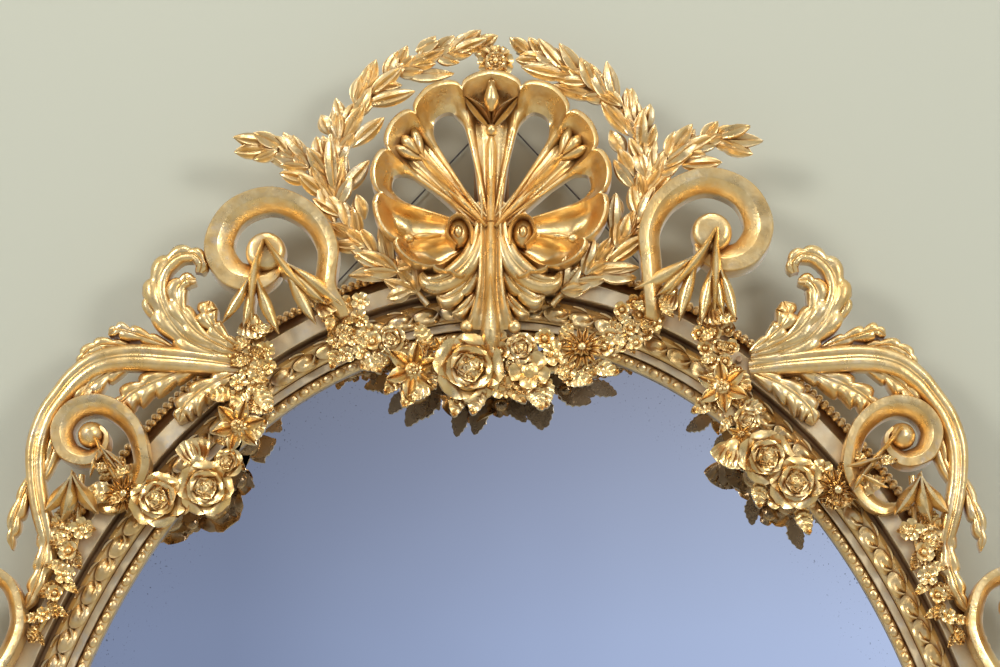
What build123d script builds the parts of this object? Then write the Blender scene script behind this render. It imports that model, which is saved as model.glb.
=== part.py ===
from build123d import *
from math import cos, hypot, radians, sin
import os

os.makedirs("parts", exist_ok=True)

# Oval giltwood wall mirror with two candle arms. X is right, Z is up and the mirror faces -Y.
# The origin is the middle of the oval, on the wall. Sizes are in mm, angles in degrees, and every
# depth is a distance in front of the wall. Places round the oval are given by an angle, with 90 at
# the top and 180 at the left, and by a reach outwards from the edge of the visible glass.

# Visible glass
sight_width = 950
sight_height = 1360

# Back board, glass, and the blocks that wedge the glass into its rebate
board_thick = 6
board_reach = 30
block_thick = 6
block_overlap = 6
block_span_deg = 3
block_count = 14
glass_thick = 4
glass_cover = 7
glass_gap = 2
lip_thick = 4

# Section of the frame, from the glass outwards
bead_width = 12
bead_height = 6
fillet_width = 8
fillet_rise = 8
leaf_width = 23
leaf_height = 18
floor_depth = 24
groove_width = 5
band_width = 18
band_rise = 24
cavetto_width = 14
cavetto_rise = 15
border_width = 8
border_height = 20
border_depth = 16

# Carved ornament
scroll_thick = 33
spray_thick = 20
laurel_thick = 12
laurel_leaf_width = 12
laurel_leaf_length = 40
stem_thick = 30
garland_stem_width = 10
garland_stem_thick = 10
flower_height = 40
shell_rim_height = 42
shell_floor_height = 10
shell_dish_radius = 118
rosette_radius = 18
rosette_height = 18
crest_left_shift = 6
right_scroll_turn = 2
right_scroll_lift = 11
right_laurel_lift = 14

# Dowels between the flat band and the carving
dowel_radius = 3
dowel_length = 24
dowel_gap = 0.1

# Block and strap behind the crest
block_width = 36
block_rise = 130
strap_width = 18
strap_thick = 2.5
strap_margin = 8
strap_length = 110

# Hanging plates, their posts and the wire
plate_angle = 117.5
plate_width = 20
plate_length = 44
plate_thick = 2
plate_head = 9
post_radius = 3
post_head_radius = 5
post_head_thick = 0.8
post_head_depth = 0.4
wire_diameter = 1.8
wire_gap = 0.15
wire_tail = 14
hook_radius = 8
hook_reach = 252

# Screws
screw_radius = 1.6
screw_length = 14
screw_head_radius = 3.2
screw_head_thick = 1.2
board_screw_count = 14

# Candle arms
arm_angle = 213
arm_stand_off = 52
foot_radius = 17
foot_thick = 4
foot_screw_offset = 12
neck_radius = 7
barrel_radius = 9
barrel_height = 34
pin_radius = 4
pin_clearance = 0.05
pin_length = 28
pin_end_gap = 1
collar_height = 12
arm_tube_radius = 5
arm_length = 165
arm_dip = 36
arm_lift = 26
arm_turn_out = 20
curl_thick = 8
cup_radius = 8
cup_height = 6
pan_radius = 38
pan_thick = 2.5
pan_rim_height = 7
pan_rim_thick = 2
nozzle_radius = 14
nozzle_bore_radius = 11
nozzle_height = 42
nozzle_bore_depth = 32
spigot_radius = 4
spigot_gap = 0.2
spigot_length = 8

# Depths in front of the wall, and reaches from the sight edge, that follow from these sizes
top = sight_height / 2
glass_back = board_thick + block_thick
glass_front = glass_back + glass_thick
bead_seat = glass_front + lip_thick
fillet_front = bead_seat + fillet_rise
seat = floor_depth + band_rise
rebate_reach = glass_cover + glass_gap
leaf_reach = bead_width + fillet_width
groove_reach = leaf_reach + leaf_width
band_reach = groove_reach + groove_width
cavetto_reach = band_reach + band_width
band_middle = band_reach + band_width / 2
border_reach = cavetto_reach + cavetto_width
outer_reach = border_reach + border_width
spray_front = seat + spray_thick
scroll_front = seat + scroll_thick


def spot(angle, reach):
    """The point at an angle round the oval and a reach outwards from the sight edge."""
    turn = radians(angle)
    return ((sight_width / 2 + reach) * cos(turn), (top + reach) * sin(turn))


def crest(x, z):
    """A point of the crest: x from its own middle line, z above the sight edge."""
    return (x - crest_left_shift, top + z)


def level(depth):
    """The front view's drawing plane, at a distance in front of the wall."""
    return Plane(origin=(0, -depth, 0), x_dir=(1, 0, 0), z_dir=(0, -1, 0))


def slab(face, low, high):
    """A drawing made into a piece of even thickness between two depths."""
    return extrude(level(low) * face, amount=high - low, dir=(0, -1, 0))


def oval(reach):
    return Ellipse(sight_width / 2 + reach, top + reach)


def oval_ring(inner, outer, low, high):
    return slab(oval(outer), low, high) - slab(oval(inner), low, high)


def disc(point, radius):
    return Pos(point[0], point[1]) * Circle(radius)


def ribbon(points, widths):
    """A flat strip that follows the points and has its own width at each of them."""
    left = []
    right = []
    last = len(points) - 1
    for i, width in enumerate(widths):
        ahead = points[min(i + 1, last)]
        behind = points[max(i - 1, 0)]
        run_x = ahead[0] - behind[0]
        run_z = ahead[1] - behind[1]
        half = width / 2 / hypot(run_x, run_z)
        left.append((points[i][0] - run_z * half, points[i][1] + run_x * half))
        right.append((points[i][0] + run_z * half, points[i][1] - run_x * half))
    outline = [
        Spline(*left),
        Line(left[-1], right[-1]),
        Spline(*reversed(right)),
        Line(right[0], left[0]),
    ]
    return make_face(outline)


def leaf(base, tip, width):
    """A pointed leaf between two arcs."""
    run_x = tip[0] - base[0]
    run_z = tip[1] - base[1]
    half = width / 2 / hypot(run_x, run_z)
    middle = (base[0] + run_x / 2, base[1] + run_z / 2)
    one_side = (middle[0] - run_z * half, middle[1] + run_x * half)
    other_side = (middle[0] + run_z * half, middle[1] - run_x * half)
    return make_face([ThreePointArc(base, one_side, tip), ThreePointArc(tip, other_side, base)])


def teardrop(focus, angle, start, reach, radius, root):
    """A lobe that widens from its root near a focus to a round end."""
    turn = radians(angle)
    along = (cos(turn), sin(turn))
    near = (focus[0] + start * along[0], focus[1] + start * along[1])
    far = (focus[0] + (reach - radius) * along[0], focus[1] + (reach - radius) * along[1])
    sides = Polygon(
        (near[0] - along[1] * root, near[1] + along[0] * root),
        (near[0] + along[1] * root, near[1] - along[0] * root),
        (far[0] + along[1] * radius, far[1] - along[0] * radius),
        (far[0] - along[1] * radius, far[1] + along[0] * radius),
        align=None,
    )
    return sides + disc(near, root) + disc(far, radius)


def coil(eye, curl):
    """Points of a scroll, each at an angle and a distance from its eye."""
    points = []
    for angle, reach in curl:
        points.append((eye[0] + reach * cos(radians(angle)), eye[1] + reach * sin(radians(angle))))
    return points


def pin(point, radius, low, high):
    """A straight round pin, or the hole for one, that runs from front to back."""
    return slab(disc(point, radius), low, high)


def boss(point, radius, low, high, crown=0.55):
    """A round form that narrows towards its crown, as a carved flower does."""
    foot = level(low) * Pos(point[0], point[1])
    return foot * Cone(radius, radius * crown, high - low, align=(Align.CENTER, Align.CENTER, Align.MIN))


def fitted(piece, *neighbours):
    """Carve a piece away where its neighbours already stand, and drop the chips that fall off."""
    for neighbour in neighbours:
        piece = piece - neighbour
    return piece.solids().sort_by(SortBy.VOLUME)[-1]


def other_hand(piece):
    return mirror(piece, about=Plane.YZ)


def other_hand_of_crest(piece):
    return mirror(piece, about=Plane.YZ.offset(-crest_left_shift))


def screw(point, head_depth):
    """A screw driven from the back, with its head's top at the given depth."""
    shank_depth = head_depth + screw_head_thick
    shank = pin(point, screw_radius, shank_depth, shank_depth + screw_length)
    return pin(point, screw_head_radius, head_depth, shank_depth) + shank


dowels = []
dowel_holes = []


def dowelled(piece, *places):
    """Bore a piece for dowels at angles round the flat band, and keep the dowels for the ring."""
    for angle in places:
        middle = spot(angle, band_middle)
        low = seat - dowel_length / 2
        high = seat + dowel_length / 2
        hole = pin(middle, dowel_radius + dowel_gap, low - dowel_gap, high + dowel_gap)
        dowels.append(pin(middle, dowel_radius, low, high))
        dowel_holes.append(hole)
        piece = piece - hole
    return piece


def save(name, piece):
    piece.label = name
    export_step(piece, "parts/" + name + ".step")


# Frame ring: one glued and turned oval of wood with the rebate, the lip, the flat band and the
# cavetto that falls from the band to the outer edge

ring = oval_ring(rebate_reach, border_reach, board_thick, bead_seat)
ring += oval_ring(leaf_reach, border_reach, bead_seat, floor_depth)
ring += oval_ring(0, leaf_reach, glass_front, bead_seat)
ring += oval_ring(bead_width, leaf_reach, bead_seat, fillet_front)
ring += oval_ring(band_reach, cavetto_reach, floor_depth, seat)
slope = loft(
    [
        level(floor_depth) * oval(border_reach),
        level(floor_depth + cavetto_rise) * oval(cavetto_reach),
    ],
    ruled=True,
)
ring += slope - slab(oval(cavetto_reach), floor_depth, seat)

# Applied mouldings: the pearl beads, the leaf band and the berry border round the outside

bead_moulding = oval_ring(0, bead_width, bead_seat, bead_seat + bead_height / 2)
bead_moulding += oval_ring(1, bead_width - 1, bead_seat + bead_height / 2, bead_seat + bead_height)

leaf_moulding = oval_ring(leaf_reach, groove_reach, floor_depth, fillet_front)
leaf_rise = loft(
    [
        level(fillet_front) * oval(groove_reach),
        level(floor_depth + leaf_height) * oval(groove_reach - leaf_width / 5),
    ],
    ruled=True,
)
leaf_hollow = loft(
    [
        level(fillet_front) * oval(leaf_reach),
        level(floor_depth + leaf_height) * oval(leaf_reach + leaf_width / 3),
    ],
    ruled=True,
)
leaf_moulding += leaf_rise - leaf_hollow

outer_border = oval_ring(border_reach, outer_reach, border_depth, border_depth + border_height)

# Glass, its blocks, and the board that closes the back

mirror_plate = slab(oval(glass_cover), glass_back, glass_front)

glazing_blocks = Part()
for i in range(block_count):
    angle = 360 / block_count * (i + 0.5)
    first = angle - block_span_deg / 2
    second = angle + block_span_deg / 2
    outline = Polygon(
        spot(first, -block_overlap),
        spot(second, -block_overlap),
        spot(second, rebate_reach),
        spot(first, rebate_reach),
        align=None,
    )
    glazing_blocks += slab(outline, board_thick, glass_back)

board_screws = Part()
for i in range(board_screw_count):
    place = spot(360 / board_screw_count * i, (rebate_reach + board_reach) / 2)
    board_screws += screw(place, 0)
backboard = fitted(slab(oval(board_reach), 0, board_thick), board_screws)

# Crest block: stands on the ring's outer edge behind the shell, and a steel strap ties the two

block_middle = -crest_left_shift
block_low = top + cavetto_reach
block_high = top + border_reach + block_rise
block_face = Pos(block_middle, (block_low + block_high) / 2) * Rectangle(
    block_width, block_high - block_low
)
crest_block = slab(block_face, board_thick, seat) - ring
outer_border = outer_border - crest_block

strap_low = top + board_reach + strap_margin
strap_depth = board_thick - strap_thick
strap_face = Pos(block_middle, strap_low + strap_length / 2) * Rectangle(strap_width, strap_length)
strap_screws = Part()
for share in (0.1, 0.25, 0.72, 0.9):
    place = (block_middle, strap_low + share * strap_length)
    strap_screws += screw(place, strap_depth - screw_head_thick)
crest_strap = slab(strap_face, strap_depth, board_thick) - strap_screws
crest_block = crest_block - strap_screws

# Hanging plates: each holds a headed post, and the wire is wound round the two posts and goes up
# over one hook in the wall behind the shell

hook = (0, top + hook_reach)
left_post = spot(plate_angle, band_middle)
rise_x = hook[0] - left_post[0]
rise_z = hook[1] - left_post[1]
rise = hypot(rise_x, rise_z)
along = (rise_x / rise, rise_z / rise)
across = (-along[1], along[0])


def from_post(distance, aside):
    """A point beside the left post: a distance towards the hook, and one across that line."""
    return (
        left_post[0] + along[0] * distance + across[0] * aside,
        left_post[1] + along[1] * distance + across[1] * aside,
    )


plate_depth = board_thick - plate_thick
plate_points = [
    from_post(plate_head, -plate_width / 2),
    from_post(plate_head, plate_width / 2),
    from_post(plate_head - plate_length, plate_width / 2),
    from_post(plate_head - plate_length, -plate_width / 2),
]
plate_screws_left = screw(from_post(-plate_length * 0.35, 0), plate_depth - screw_head_thick)
plate_screws_left += screw(from_post(-plate_length * 0.65, 0), plate_depth - screw_head_thick)
hanging_plate_left = slab(Polygon(*plate_points, align=None), plate_depth, board_thick)
hanging_plate_left += pin(left_post, post_radius, post_head_depth, plate_depth)
hanging_plate_left += pin(
    left_post, post_head_radius, post_head_depth, post_head_depth + post_head_thick
)
hanging_plate_left = hanging_plate_left - plate_screws_left

wire_depth = (post_head_depth + post_head_thick + plate_depth) / 2
wind_radius = post_radius + wire_gap + wire_diameter / 2
left_end = [
    from_post(wire_tail, -wind_radius),
    from_post(-wind_radius, -wind_radius),
    from_post(-wind_radius, wind_radius),
]
wire_route = []
for x, z in left_end:
    wire_route.append((x, -wire_depth, z))
wire_route.append((hook[0], -wire_depth, hook[1]))
for x, z in reversed(left_end):
    wire_route.append((-x, -wire_depth, z))
wind_bend = wind_radius * 0.98
wire_radii = [wind_bend, wind_bend, hook_radius, wind_bend, wind_bend]
wire_path = FilletPolyline(*wire_route, radius=wire_radii)
wire_section = Plane(origin=wire_path @ 0, z_dir=wire_path % 0) * Circle(wire_diameter / 2)
hanging_wire = sweep(wire_section, path=wire_path)
print("wire length", round(wire_path.length, 1), "radii", [round(radius, 2) for radius in wire_radii])

# Crest stem: the fluted foot that stands on the flat band and runs up between the shell's volutes

stem_line = [crest(0, 122), crest(0, 85), crest(0, 50), crest(0, 22), crest(0, -9)]
crest_stem = slab(ribbon(stem_line, [12, 20, 24, 32, 44]), seat, seat + stem_thick)
for side in (-1, 1):
    crest_stem += boss(crest(side * 20, 0), 9, seat, seat + stem_thick + 3)
crest_stem = dowelled(crest_stem, 90.6)

# Shell: a dish of nine lobes about a low focus, pierced four times, with a raised middle rib and
# two volutes at its foot

focus = crest(0, 103)
shell_lobes = [
    (90, 170, 27), (113, 166, 25), (132, 153, 24), (151, 138, 23), (172, 118, 20), (201, 88, 22),
    (228, 50, 16),
]
shell_face = Sketch()
for angle, reach, radius in shell_lobes:
    shell_face += teardrop(focus, angle, 0, reach, radius, 10)
    shell_face += teardrop(focus, 180 - angle, 0, reach, radius, 10)
for angle, reach in ((114, 144), (153, 121)):
    for turn in (angle, 180 - angle):
        shell_face -= teardrop(focus, turn, 36, reach, 11, 3)
shell_crest = slab(shell_face, seat, seat + shell_rim_height)
dish_depth = shell_rim_height - shell_floor_height
dish_ball = (shell_dish_radius ** 2 + dish_depth ** 2) / (2 * dish_depth)
dish_middle = crest(0, 165)
shell_crest -= Pos(
    dish_middle[0], -(seat + shell_floor_height + dish_ball), dish_middle[1]
) * Sphere(dish_ball)
rib_line = [crest(0, 110), crest(0, 150), crest(0, 200), crest(0, 258)]
shell_crest += slab(ribbon(rib_line, [12, 18, 26, 34]), seat, seat + shell_rim_height - 10)
for side in (-1, 1):
    shell_crest += boss(crest(side * 31, 101), 15, seat, seat + shell_rim_height + 2, crown=0.7)
    husk = teardrop(focus, 90 + side * 42, 78, 138, 10, 5)
    shell_crest += slab(husk, seat, seat + shell_rim_height - 8)
shell_crest = fitted(shell_crest, crest_stem)

# Acanthus leaves that spring from the stem's foot

stem_leaf_face = ribbon(
    [crest(-8, 18), crest(-28, 42), crest(-50, 53), crest(-69, 44)], [20, 22, 16, 7]
)
stem_leaf_face += leaf(crest(-18, 38), crest(-41, 66), 14)
stem_leaf_left = fitted(slab(stem_leaf_face, seat, seat + spray_thick), crest_stem, shell_crest)
stem_leaf_right = dowelled(other_hand_of_crest(stem_leaf_left), 85.3)
stem_leaf_left = dowelled(stem_leaf_left, 96)

# Upper scrolls: a foot on the flat band, one and a quarter turns, and a raised eye

scroll_curl = [(-30, 72), (5, 64), (42, 60), (85, 59), (128, 56), (170, 52), (208, 42), (245, 28)]
scroll_widths = [18, 18, 18, 18, 19, 19, 20, 21, 20, 16]


def upper_scroll(turn, lift):
    eye = spot(112.4 - turn, 143.6 + lift)
    line = [spot(107.5, band_middle - 3)] + coil(eye, scroll_curl) + [(eye[0] + 2, eye[1] - 14)]
    piece = slab(ribbon(line, scroll_widths), seat, scroll_front)
    piece += pin(eye, 20, seat, scroll_front)
    return piece


upper_scroll_left = dowelled(upper_scroll(0, 0), 107.4)
upper_scroll_right = other_hand(upper_scroll(right_scroll_turn, right_scroll_lift))
upper_scroll_right = dowelled(upper_scroll_right, 72.6)

# Laurel branches: they spring from the flat band, rise round the shell and meet at the rosette

laurel_line = [
    crest(-76, 46), crest(-103, 66), crest(-134, 90), crest(-155, 122), crest(-163, 160),
    crest(-157, 202), crest(-138, 244), crest(-106, 276), crest(-64, 296), crest(-16, 307),
]
offshoot_route = [(-161, 138), (-192, 168), (-228, 186), (-256, 192)]


def leafy_branch(line, stem_width, first, skew, length):
    """A bare stem with pairs of leaves that lean towards its end, and one leaf at the end."""
    face = ribbon(line, [stem_width] * len(line)) + disc(line[-1], stem_width)
    for i in range(first, len(line)):
        ahead = line[min(i + 1, len(line) - 1)]
        behind = line[i - 1]
        run = hypot(ahead[0] - behind[0], ahead[1] - behind[1])
        forward = ((ahead[0] - behind[0]) / run, (ahead[1] - behind[1]) / run)
        for lean in (-skew, skew, 0):
            turn = radians(lean)
            tip_x = forward[0] * cos(turn) - forward[1] * sin(turn)
            tip_z = forward[0] * sin(turn) + forward[1] * cos(turn)
            tip = (line[i][0] + tip_x * length, line[i][1] + tip_z * length)
            face += leaf(line[i], tip, laurel_leaf_width)
    return face


def laurel(lift):
    """The left branch, with the offshoot over the scroll raised by a lift."""
    offshoot_line = [crest(x, z + lift) for x, z in offshoot_route]
    face = leafy_branch(laurel_line[:-1], 6, 1, 38, laurel_leaf_length)
    face += leafy_branch(offshoot_line, 5, 1, 38, laurel_leaf_length * 0.8)
    half_plane = Pos(-sight_width / 2 - crest_left_shift, top) * Rectangle(sight_width, sight_height)
    return fitted(slab(face & half_plane, seat, seat + laurel_thick), shell_crest, stem_leaf_left)


laurel_left = fitted(laurel(0), upper_scroll_left)
laurel_right = fitted(other_hand_of_crest(laurel(right_laurel_lift)), upper_scroll_right)

rosette_middle = crest(4, 288)
crest_rosette = boss(
    rosette_middle, rosette_radius, seat + laurel_thick, seat + laurel_thick + rosette_height
)
crest_rosette = fitted(crest_rosette, shell_crest)

# Lower scrolls: a bar across the flat band that turns up and over into a tight coil

lower_eye = spot(133.9, 114)
lower_curl = [
    (-25, 57), (5, 42), (40, 32), (80, 27), (125, 27), (170, 28), (215, 27), (262, 23), (305, 17),
]
lower_line = [spot(138.2, 66), spot(135.4, 48), spot(133, 41)] + coil(lower_eye, lower_curl)
lower_widths = [12, 15, 16, 16, 16, 16, 16, 17, 18, 19, 18, 14]
lower_scroll_left = slab(ribbon(lower_line, lower_widths), seat, scroll_front)
lower_scroll_left += pin(lower_eye, 15, seat, scroll_front + 4)
lower_scroll_right = dowelled(other_hand(lower_scroll_left), 47.7, 45.2)
lower_scroll_left = dowelled(lower_scroll_left, 132.3, 134.8)

# Acanthus sprays: leafy sweeps that root on the flat band and run out round the lower scrolls

spray_face = ribbon(
    [
        spot(116.8, 56), spot(119.6, 96), spot(122.4, 130), spot(127, 160), spot(130.6, 172),
        spot(134.5, 168), spot(138, 156), spot(140.4, 134), spot(142.4, 108),
    ],
    [24, 34, 34, 34, 28, 22, 20, 20, 16],
)
spray_face += ribbon(
    [spot(121, 118), spot(122.6, 156), spot(121.6, 186), spot(118.9, 194), spot(117.7, 176)],
    [26, 26, 22, 17, 10],
)
for base, tip, width in (
    (spot(118.4, 88), spot(118.4, 146), 22),
    (spot(121.5, 128), spot(119.4, 152), 16),
    (spot(122.2, 150), spot(123.8, 188), 18),
    (spot(124.5, 150), spot(127.2, 178), 20),
    (spot(119.6, 84), spot(124.2, 74), 24),
    (spot(123, 122), spot(130, 112), 26),
    (spot(141, 130), spot(143.9, 128), 16),
    (spot(141, 120), spot(144.8, 92), 18),
):
    spray_face += leaf(base, tip, width)
acanthus_left = fitted(
    slab(spray_face, seat, spray_front), upper_scroll_left, lower_scroll_left
)
acanthus_right = fitted(other_hand(acanthus_left), upper_scroll_right)
acanthus_left = dowelled(acanthus_left, 117.6)
acanthus_right = dowelled(acanthus_right, 62.4)

# Flower garlands: a wired stem in front of the scrolls, with flowers that stand on what is behind


def garland(stem, low, flowers):
    """Flowers are given as angle, reach, radius and the depth of what they stand on."""
    points = [spot(angle, reach) for angle, reach in stem]
    piece = slab(
        ribbon(points, [garland_stem_width] * len(points)), low, low + garland_stem_thick
    )
    for angle, reach, radius, foot in flowers:
        crown = low + garland_stem_thick
        if foot < low:
            crown = max(crown, seat + flower_height)
        piece += boss(spot(angle, reach), radius, foot, crown, crown=0.6)
    return piece


swag_hanger_left = garland(
    [(112.4, 143), (111.3, 119), (110.5, 90), (109.5, 63), (107.9, 38), (105.6, 12)],
    scroll_front,
    [
        (111, 108, 9, scroll_front), (109.8, 72, 9, scroll_front), (108.8, 54, 12, scroll_front),
        (107.9, 32, 14, seat), (106.6, 19, 14, seat), (105.2, 7, 13, seat), (108.6, 24, 10, seat),
    ],
)
swag_hanger_right = garland(
    [(69.6, 154), (70.5, 114), (71.2, 78), (72.8, 48), (73.9, 24), (75.8, 6)],
    scroll_front,
    [
        (70.4, 120, 9, scroll_front), (71.4, 80, 9, scroll_front), (72.2, 56, 12, scroll_front),
        (73, 31, 14, seat), (74, 15, 14, seat), (75.6, 4, 13, seat), (72, 22, 10, seat),
    ],
)
centre_swag = garland(
    [(103.4, -2), (101, -26), (97.4, -36), (93.8, -38), (89.4, -34), (85.4, -34), (81, -20), (77, -8)],
    seat + garland_stem_thick,
    [
        (102.8, 6, 13, seat), (101, -29, 24, seat), (97.6, -36, 17, seat), (93.8, -38, 33, seat),
        (87, -19, 15, seat), (85.8, -40, 19, seat), (82.4, -30, 15, seat), (79.2, -7, 18, seat),
        (76.9, -22, 13, seat), (89.4, -44, 14, seat),
    ],
)
centre_swag = fitted(centre_swag, swag_hanger_left, swag_hanger_right, crest_stem)

garland_left = garland(
    [
        (112.4, 143), (114.1, 116), (115.9, 93), (117.5, 68), (119, 50), (120.7, 27), (122.8, 4),
        (125.8, -14), (129.3, -15), (132.4, 2), (134.6, 36), (134.4, 70), (133.9, 112),
    ],
    scroll_front,
    [
        (114.8, 106, 9, scroll_front), (116.6, 80, 9, spray_front), (118.4, 58, 13, spray_front),
        (120, 36, 13, seat), (122.2, 10, 23, seat), (127.2, 18, 18, seat), (125.6, -17, 14, seat),
        (129.2, -15, 25, seat), (133.4, 10, 25, seat), (135.4, 40, 17, scroll_front),
        (134.4, 78, 8, scroll_front),
    ],
)
garland_right = garland(
    [
        (69.4, 154), (66.8, 88), (65.3, 52), (63.5, 28), (61, 8), (58, -6), (54.8, -10),
        (50.4, -5), (47.2, 22), (46.4, 64), (46.4, 112),
    ],
    scroll_front,
    [
        (68, 112, 9, scroll_front), (65.8, 64, 11, spray_front), (64.6, 42, 13, seat),
        (62.3, 17, 23, seat), (59.4, 3, 14, seat), (58.4, -31, 13, seat), (54.8, -10, 25, seat),
        (50.3, -5, 25, seat), (46.8, 22, 19, seat), (47.2, -18, 13, seat),
        (45.6, 46, 13, scroll_front), (46.2, 80, 8, scroll_front),
    ],
)
garland_left = fitted(garland_left, upper_scroll_left, lower_scroll_left, swag_hanger_left)
garland_right = fitted(garland_right, upper_scroll_right, lower_scroll_right, swag_hanger_right)
acanthus_left = fitted(acanthus_left, garland_left)
acanthus_right = fitted(acanthus_right, garland_right)

# Side drops: a bellflower, small flowers and husks that hang below each lower scroll

side_drop_left = garland(
    [(136.8, 100), (139, 84), (141.4, 68), (144, 58), (147, 56), (150, 57)],
    seat + garland_stem_thick,
    [
        (138.6, 88, 14, seat), (141.2, 84, 10, seat), (140.4, 62, 11, seat), (142.4, 63, 11, seat),
        (144.4, 56, 10, seat), (146.2, 56, 9, seat), (148.2, 56, 8, seat), (150, 57, 7, seat),
    ],
)
side_drop_left = fitted(side_drop_left, lower_scroll_left, acanthus_left)
side_drop_right = other_hand(side_drop_left)

# Side scrolls: a long band along the flat band with a coil at each end

high_eye = spot(150, 118)
low_eye = spot(204.5, 112)
high_curl = [(290, 13), (240, 24), (190, 30), (140, 32), (90, 33), (40, 34), (-10, 38), (-48, 50)]
low_curl = [(44, 56), (4, 42), (-45, 36), (-90, 33), (-140, 31), (-190, 28), (-240, 21), (-290, 12)]
side_line = coil(high_eye, high_curl)
side_line += [spot(157, 80), spot(165, 70), spot(174, 66), spot(183, 66), spot(192, 74)]
side_line += coil(low_eye, low_curl)
side_widths = [13, 15, 16, 16, 16, 16, 17, 18, 20, 21, 22, 22, 20, 18, 17, 16, 16, 16, 16, 14, 12]
side_scroll_face = ribbon(side_line, side_widths)
side_scroll_face += disc(high_eye, 15) + disc(low_eye, 14)
for base, tip, width in (
    (spot(160, 76), spot(163, 112), 22),
    (spot(167, 74), spot(171, 104), 22),
    (spot(190, 76), spot(187, 108), 22),
    (spot(181, 74), spot(178.5, 100), 20),
):
    side_scroll_face += leaf(base, tip, width)
side_scroll_left = fitted(slab(side_scroll_face, seat, scroll_front), side_drop_left, acanthus_left)
side_scroll_right = other_hand(side_scroll_left)
side_scroll_left = dowelled(side_scroll_left, 170, 184)
side_scroll_right = dowelled(side_scroll_right, 10, -4)

# Foot of the frame: two scrolls, a fluted cartouche between them, its pendant and two garlands

foot_eye = spot(238.5, 104)
foot_curl = [(16, 54), (52, 40), (100, 36), (150, 34), (200, 32), (250, 28), (300, 20)]
foot_line = [spot(263.5, 78), spot(258, 68), spot(252, 64), spot(246.5, 68)] + coil(foot_eye, foot_curl)
foot_face = ribbon(foot_line, [16, 19, 20, 20, 19, 18, 17, 16, 16, 15, 13]) + disc(foot_eye, 14)
foot_face += leaf(spot(252, 70), spot(247, 112), 24)
foot_face += leaf(spot(258, 72), spot(256, 112), 22)
foot_scroll_left = slab(foot_face, seat, scroll_front)

hub = spot(270, 66)
cartouche_face = disc(hub, 26)
for angle, reach, radius in ((270, 96, 19), (242, 90, 18), (216, 78, 16), (190, 60, 13)):
    for turn in (angle, 540 - angle):
        cartouche_face += teardrop(hub, turn, 10, reach, radius, 8)
cartouche_face += leaf(hub, spot(267.2, 26), 16) + leaf(hub, spot(272.8, 26), 16)
cartouche_face += leaf(hub, spot(270, 18), 18)
bottom_cartouche = slab(cartouche_face, seat, scroll_front)
bottom_cartouche += boss(hub, 20, scroll_front, scroll_front + 10)
foot_scroll_left = fitted(foot_scroll_left, bottom_cartouche)
foot_scroll_right = other_hand(foot_scroll_left)
bottom_cartouche = dowelled(bottom_cartouche, 268.6, 271.4)
foot_scroll_left = dowelled(foot_scroll_left, 249, 255)
foot_scroll_right = dowelled(foot_scroll_right, 291, 285)

pendant_face = leaf(spot(270, 156), spot(270, 214), 26)
pendant_face += leaf(spot(270, 158), (-15, -top - 188), 12) + leaf(spot(270, 158), (15, -top - 188), 12)
bottom_pendant = slab(pendant_face, seat, seat + spray_thick)
bottom_pendant += boss(spot(270, 216), 7, seat, seat + spray_thick + 2)
bottom_pendant = fitted(bottom_pendant, bottom_cartouche)

foot_garland_left = garland(
    [(218, 58), (221, 52), (226, 46), (231, 44), (236, 48), (240.6, 55)],
    seat + garland_stem_thick,
    [
        (217.8, 60, 8, seat), (220.4, 54, 11, seat), (223.4, 50, 14, seat), (227.2, 46, 20, seat),
        (231.6, 44, 23, seat), (235.6, 48, 17, seat), (238.8, 54, 13, seat),
    ],
)
foot_garland_left = fitted(foot_garland_left, foot_scroll_left)
foot_garland_right = other_hand(foot_garland_left)

# Candle arms: a bracket on the flat band, an arm that turns on an upright pin, a drip pan and a
# nozzle for the candle

bracket_middle = spot(arm_angle, band_middle)
arm_depth = seat + arm_stand_off
barrel_top = bracket_middle[1] + barrel_height / 2
slant = radians(arm_turn_out)
arm_plane = Plane(
    origin=(bracket_middle[0], -arm_depth, barrel_top),
    x_dir=(-sin(slant), -cos(slant), 0),
    z_dir=(-cos(slant), sin(slant), 0),
)


def upright(radius, low, high, out=0):
    """An upright round piece between two heights over the barrel's top, some way along the arm."""
    foot = arm_plane.from_local_coords((out, low, 0))
    cylinder = Cylinder(radius, high - low, align=(Align.CENTER, Align.CENTER, Align.MIN))
    return Plane(origin=foot, z_dir=(0, 0, 1)) * cylinder


plate_front = seat + foot_thick
above = spot(arm_angle - 1, band_middle)
below = spot(arm_angle + 1, band_middle)
run = hypot(above[0] - below[0], above[1] - below[1])
bracket_screws_left = Part()
for offset in (-foot_screw_offset, foot_screw_offset):
    place = (
        bracket_middle[0] + (above[0] - below[0]) / run * offset,
        bracket_middle[1] + (above[1] - below[1]) / run * offset,
    )
    bracket_screws_left += pin(place, screw_radius, plate_front - screw_length, plate_front)
    bracket_screws_left += pin(
        place, screw_head_radius, plate_front, plate_front + screw_head_thick
    )

arm_bracket_left = pin(bracket_middle, foot_radius, seat, plate_front)
arm_bracket_left += pin(bracket_middle, neck_radius, plate_front, arm_depth)
arm_bracket_left += upright(barrel_radius, -barrel_height, 0)
arm_bracket_left -= upright(pin_radius + pin_clearance, -pin_length - pin_end_gap, 0)
arm_bracket_left = arm_bracket_left - bracket_screws_left

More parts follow.
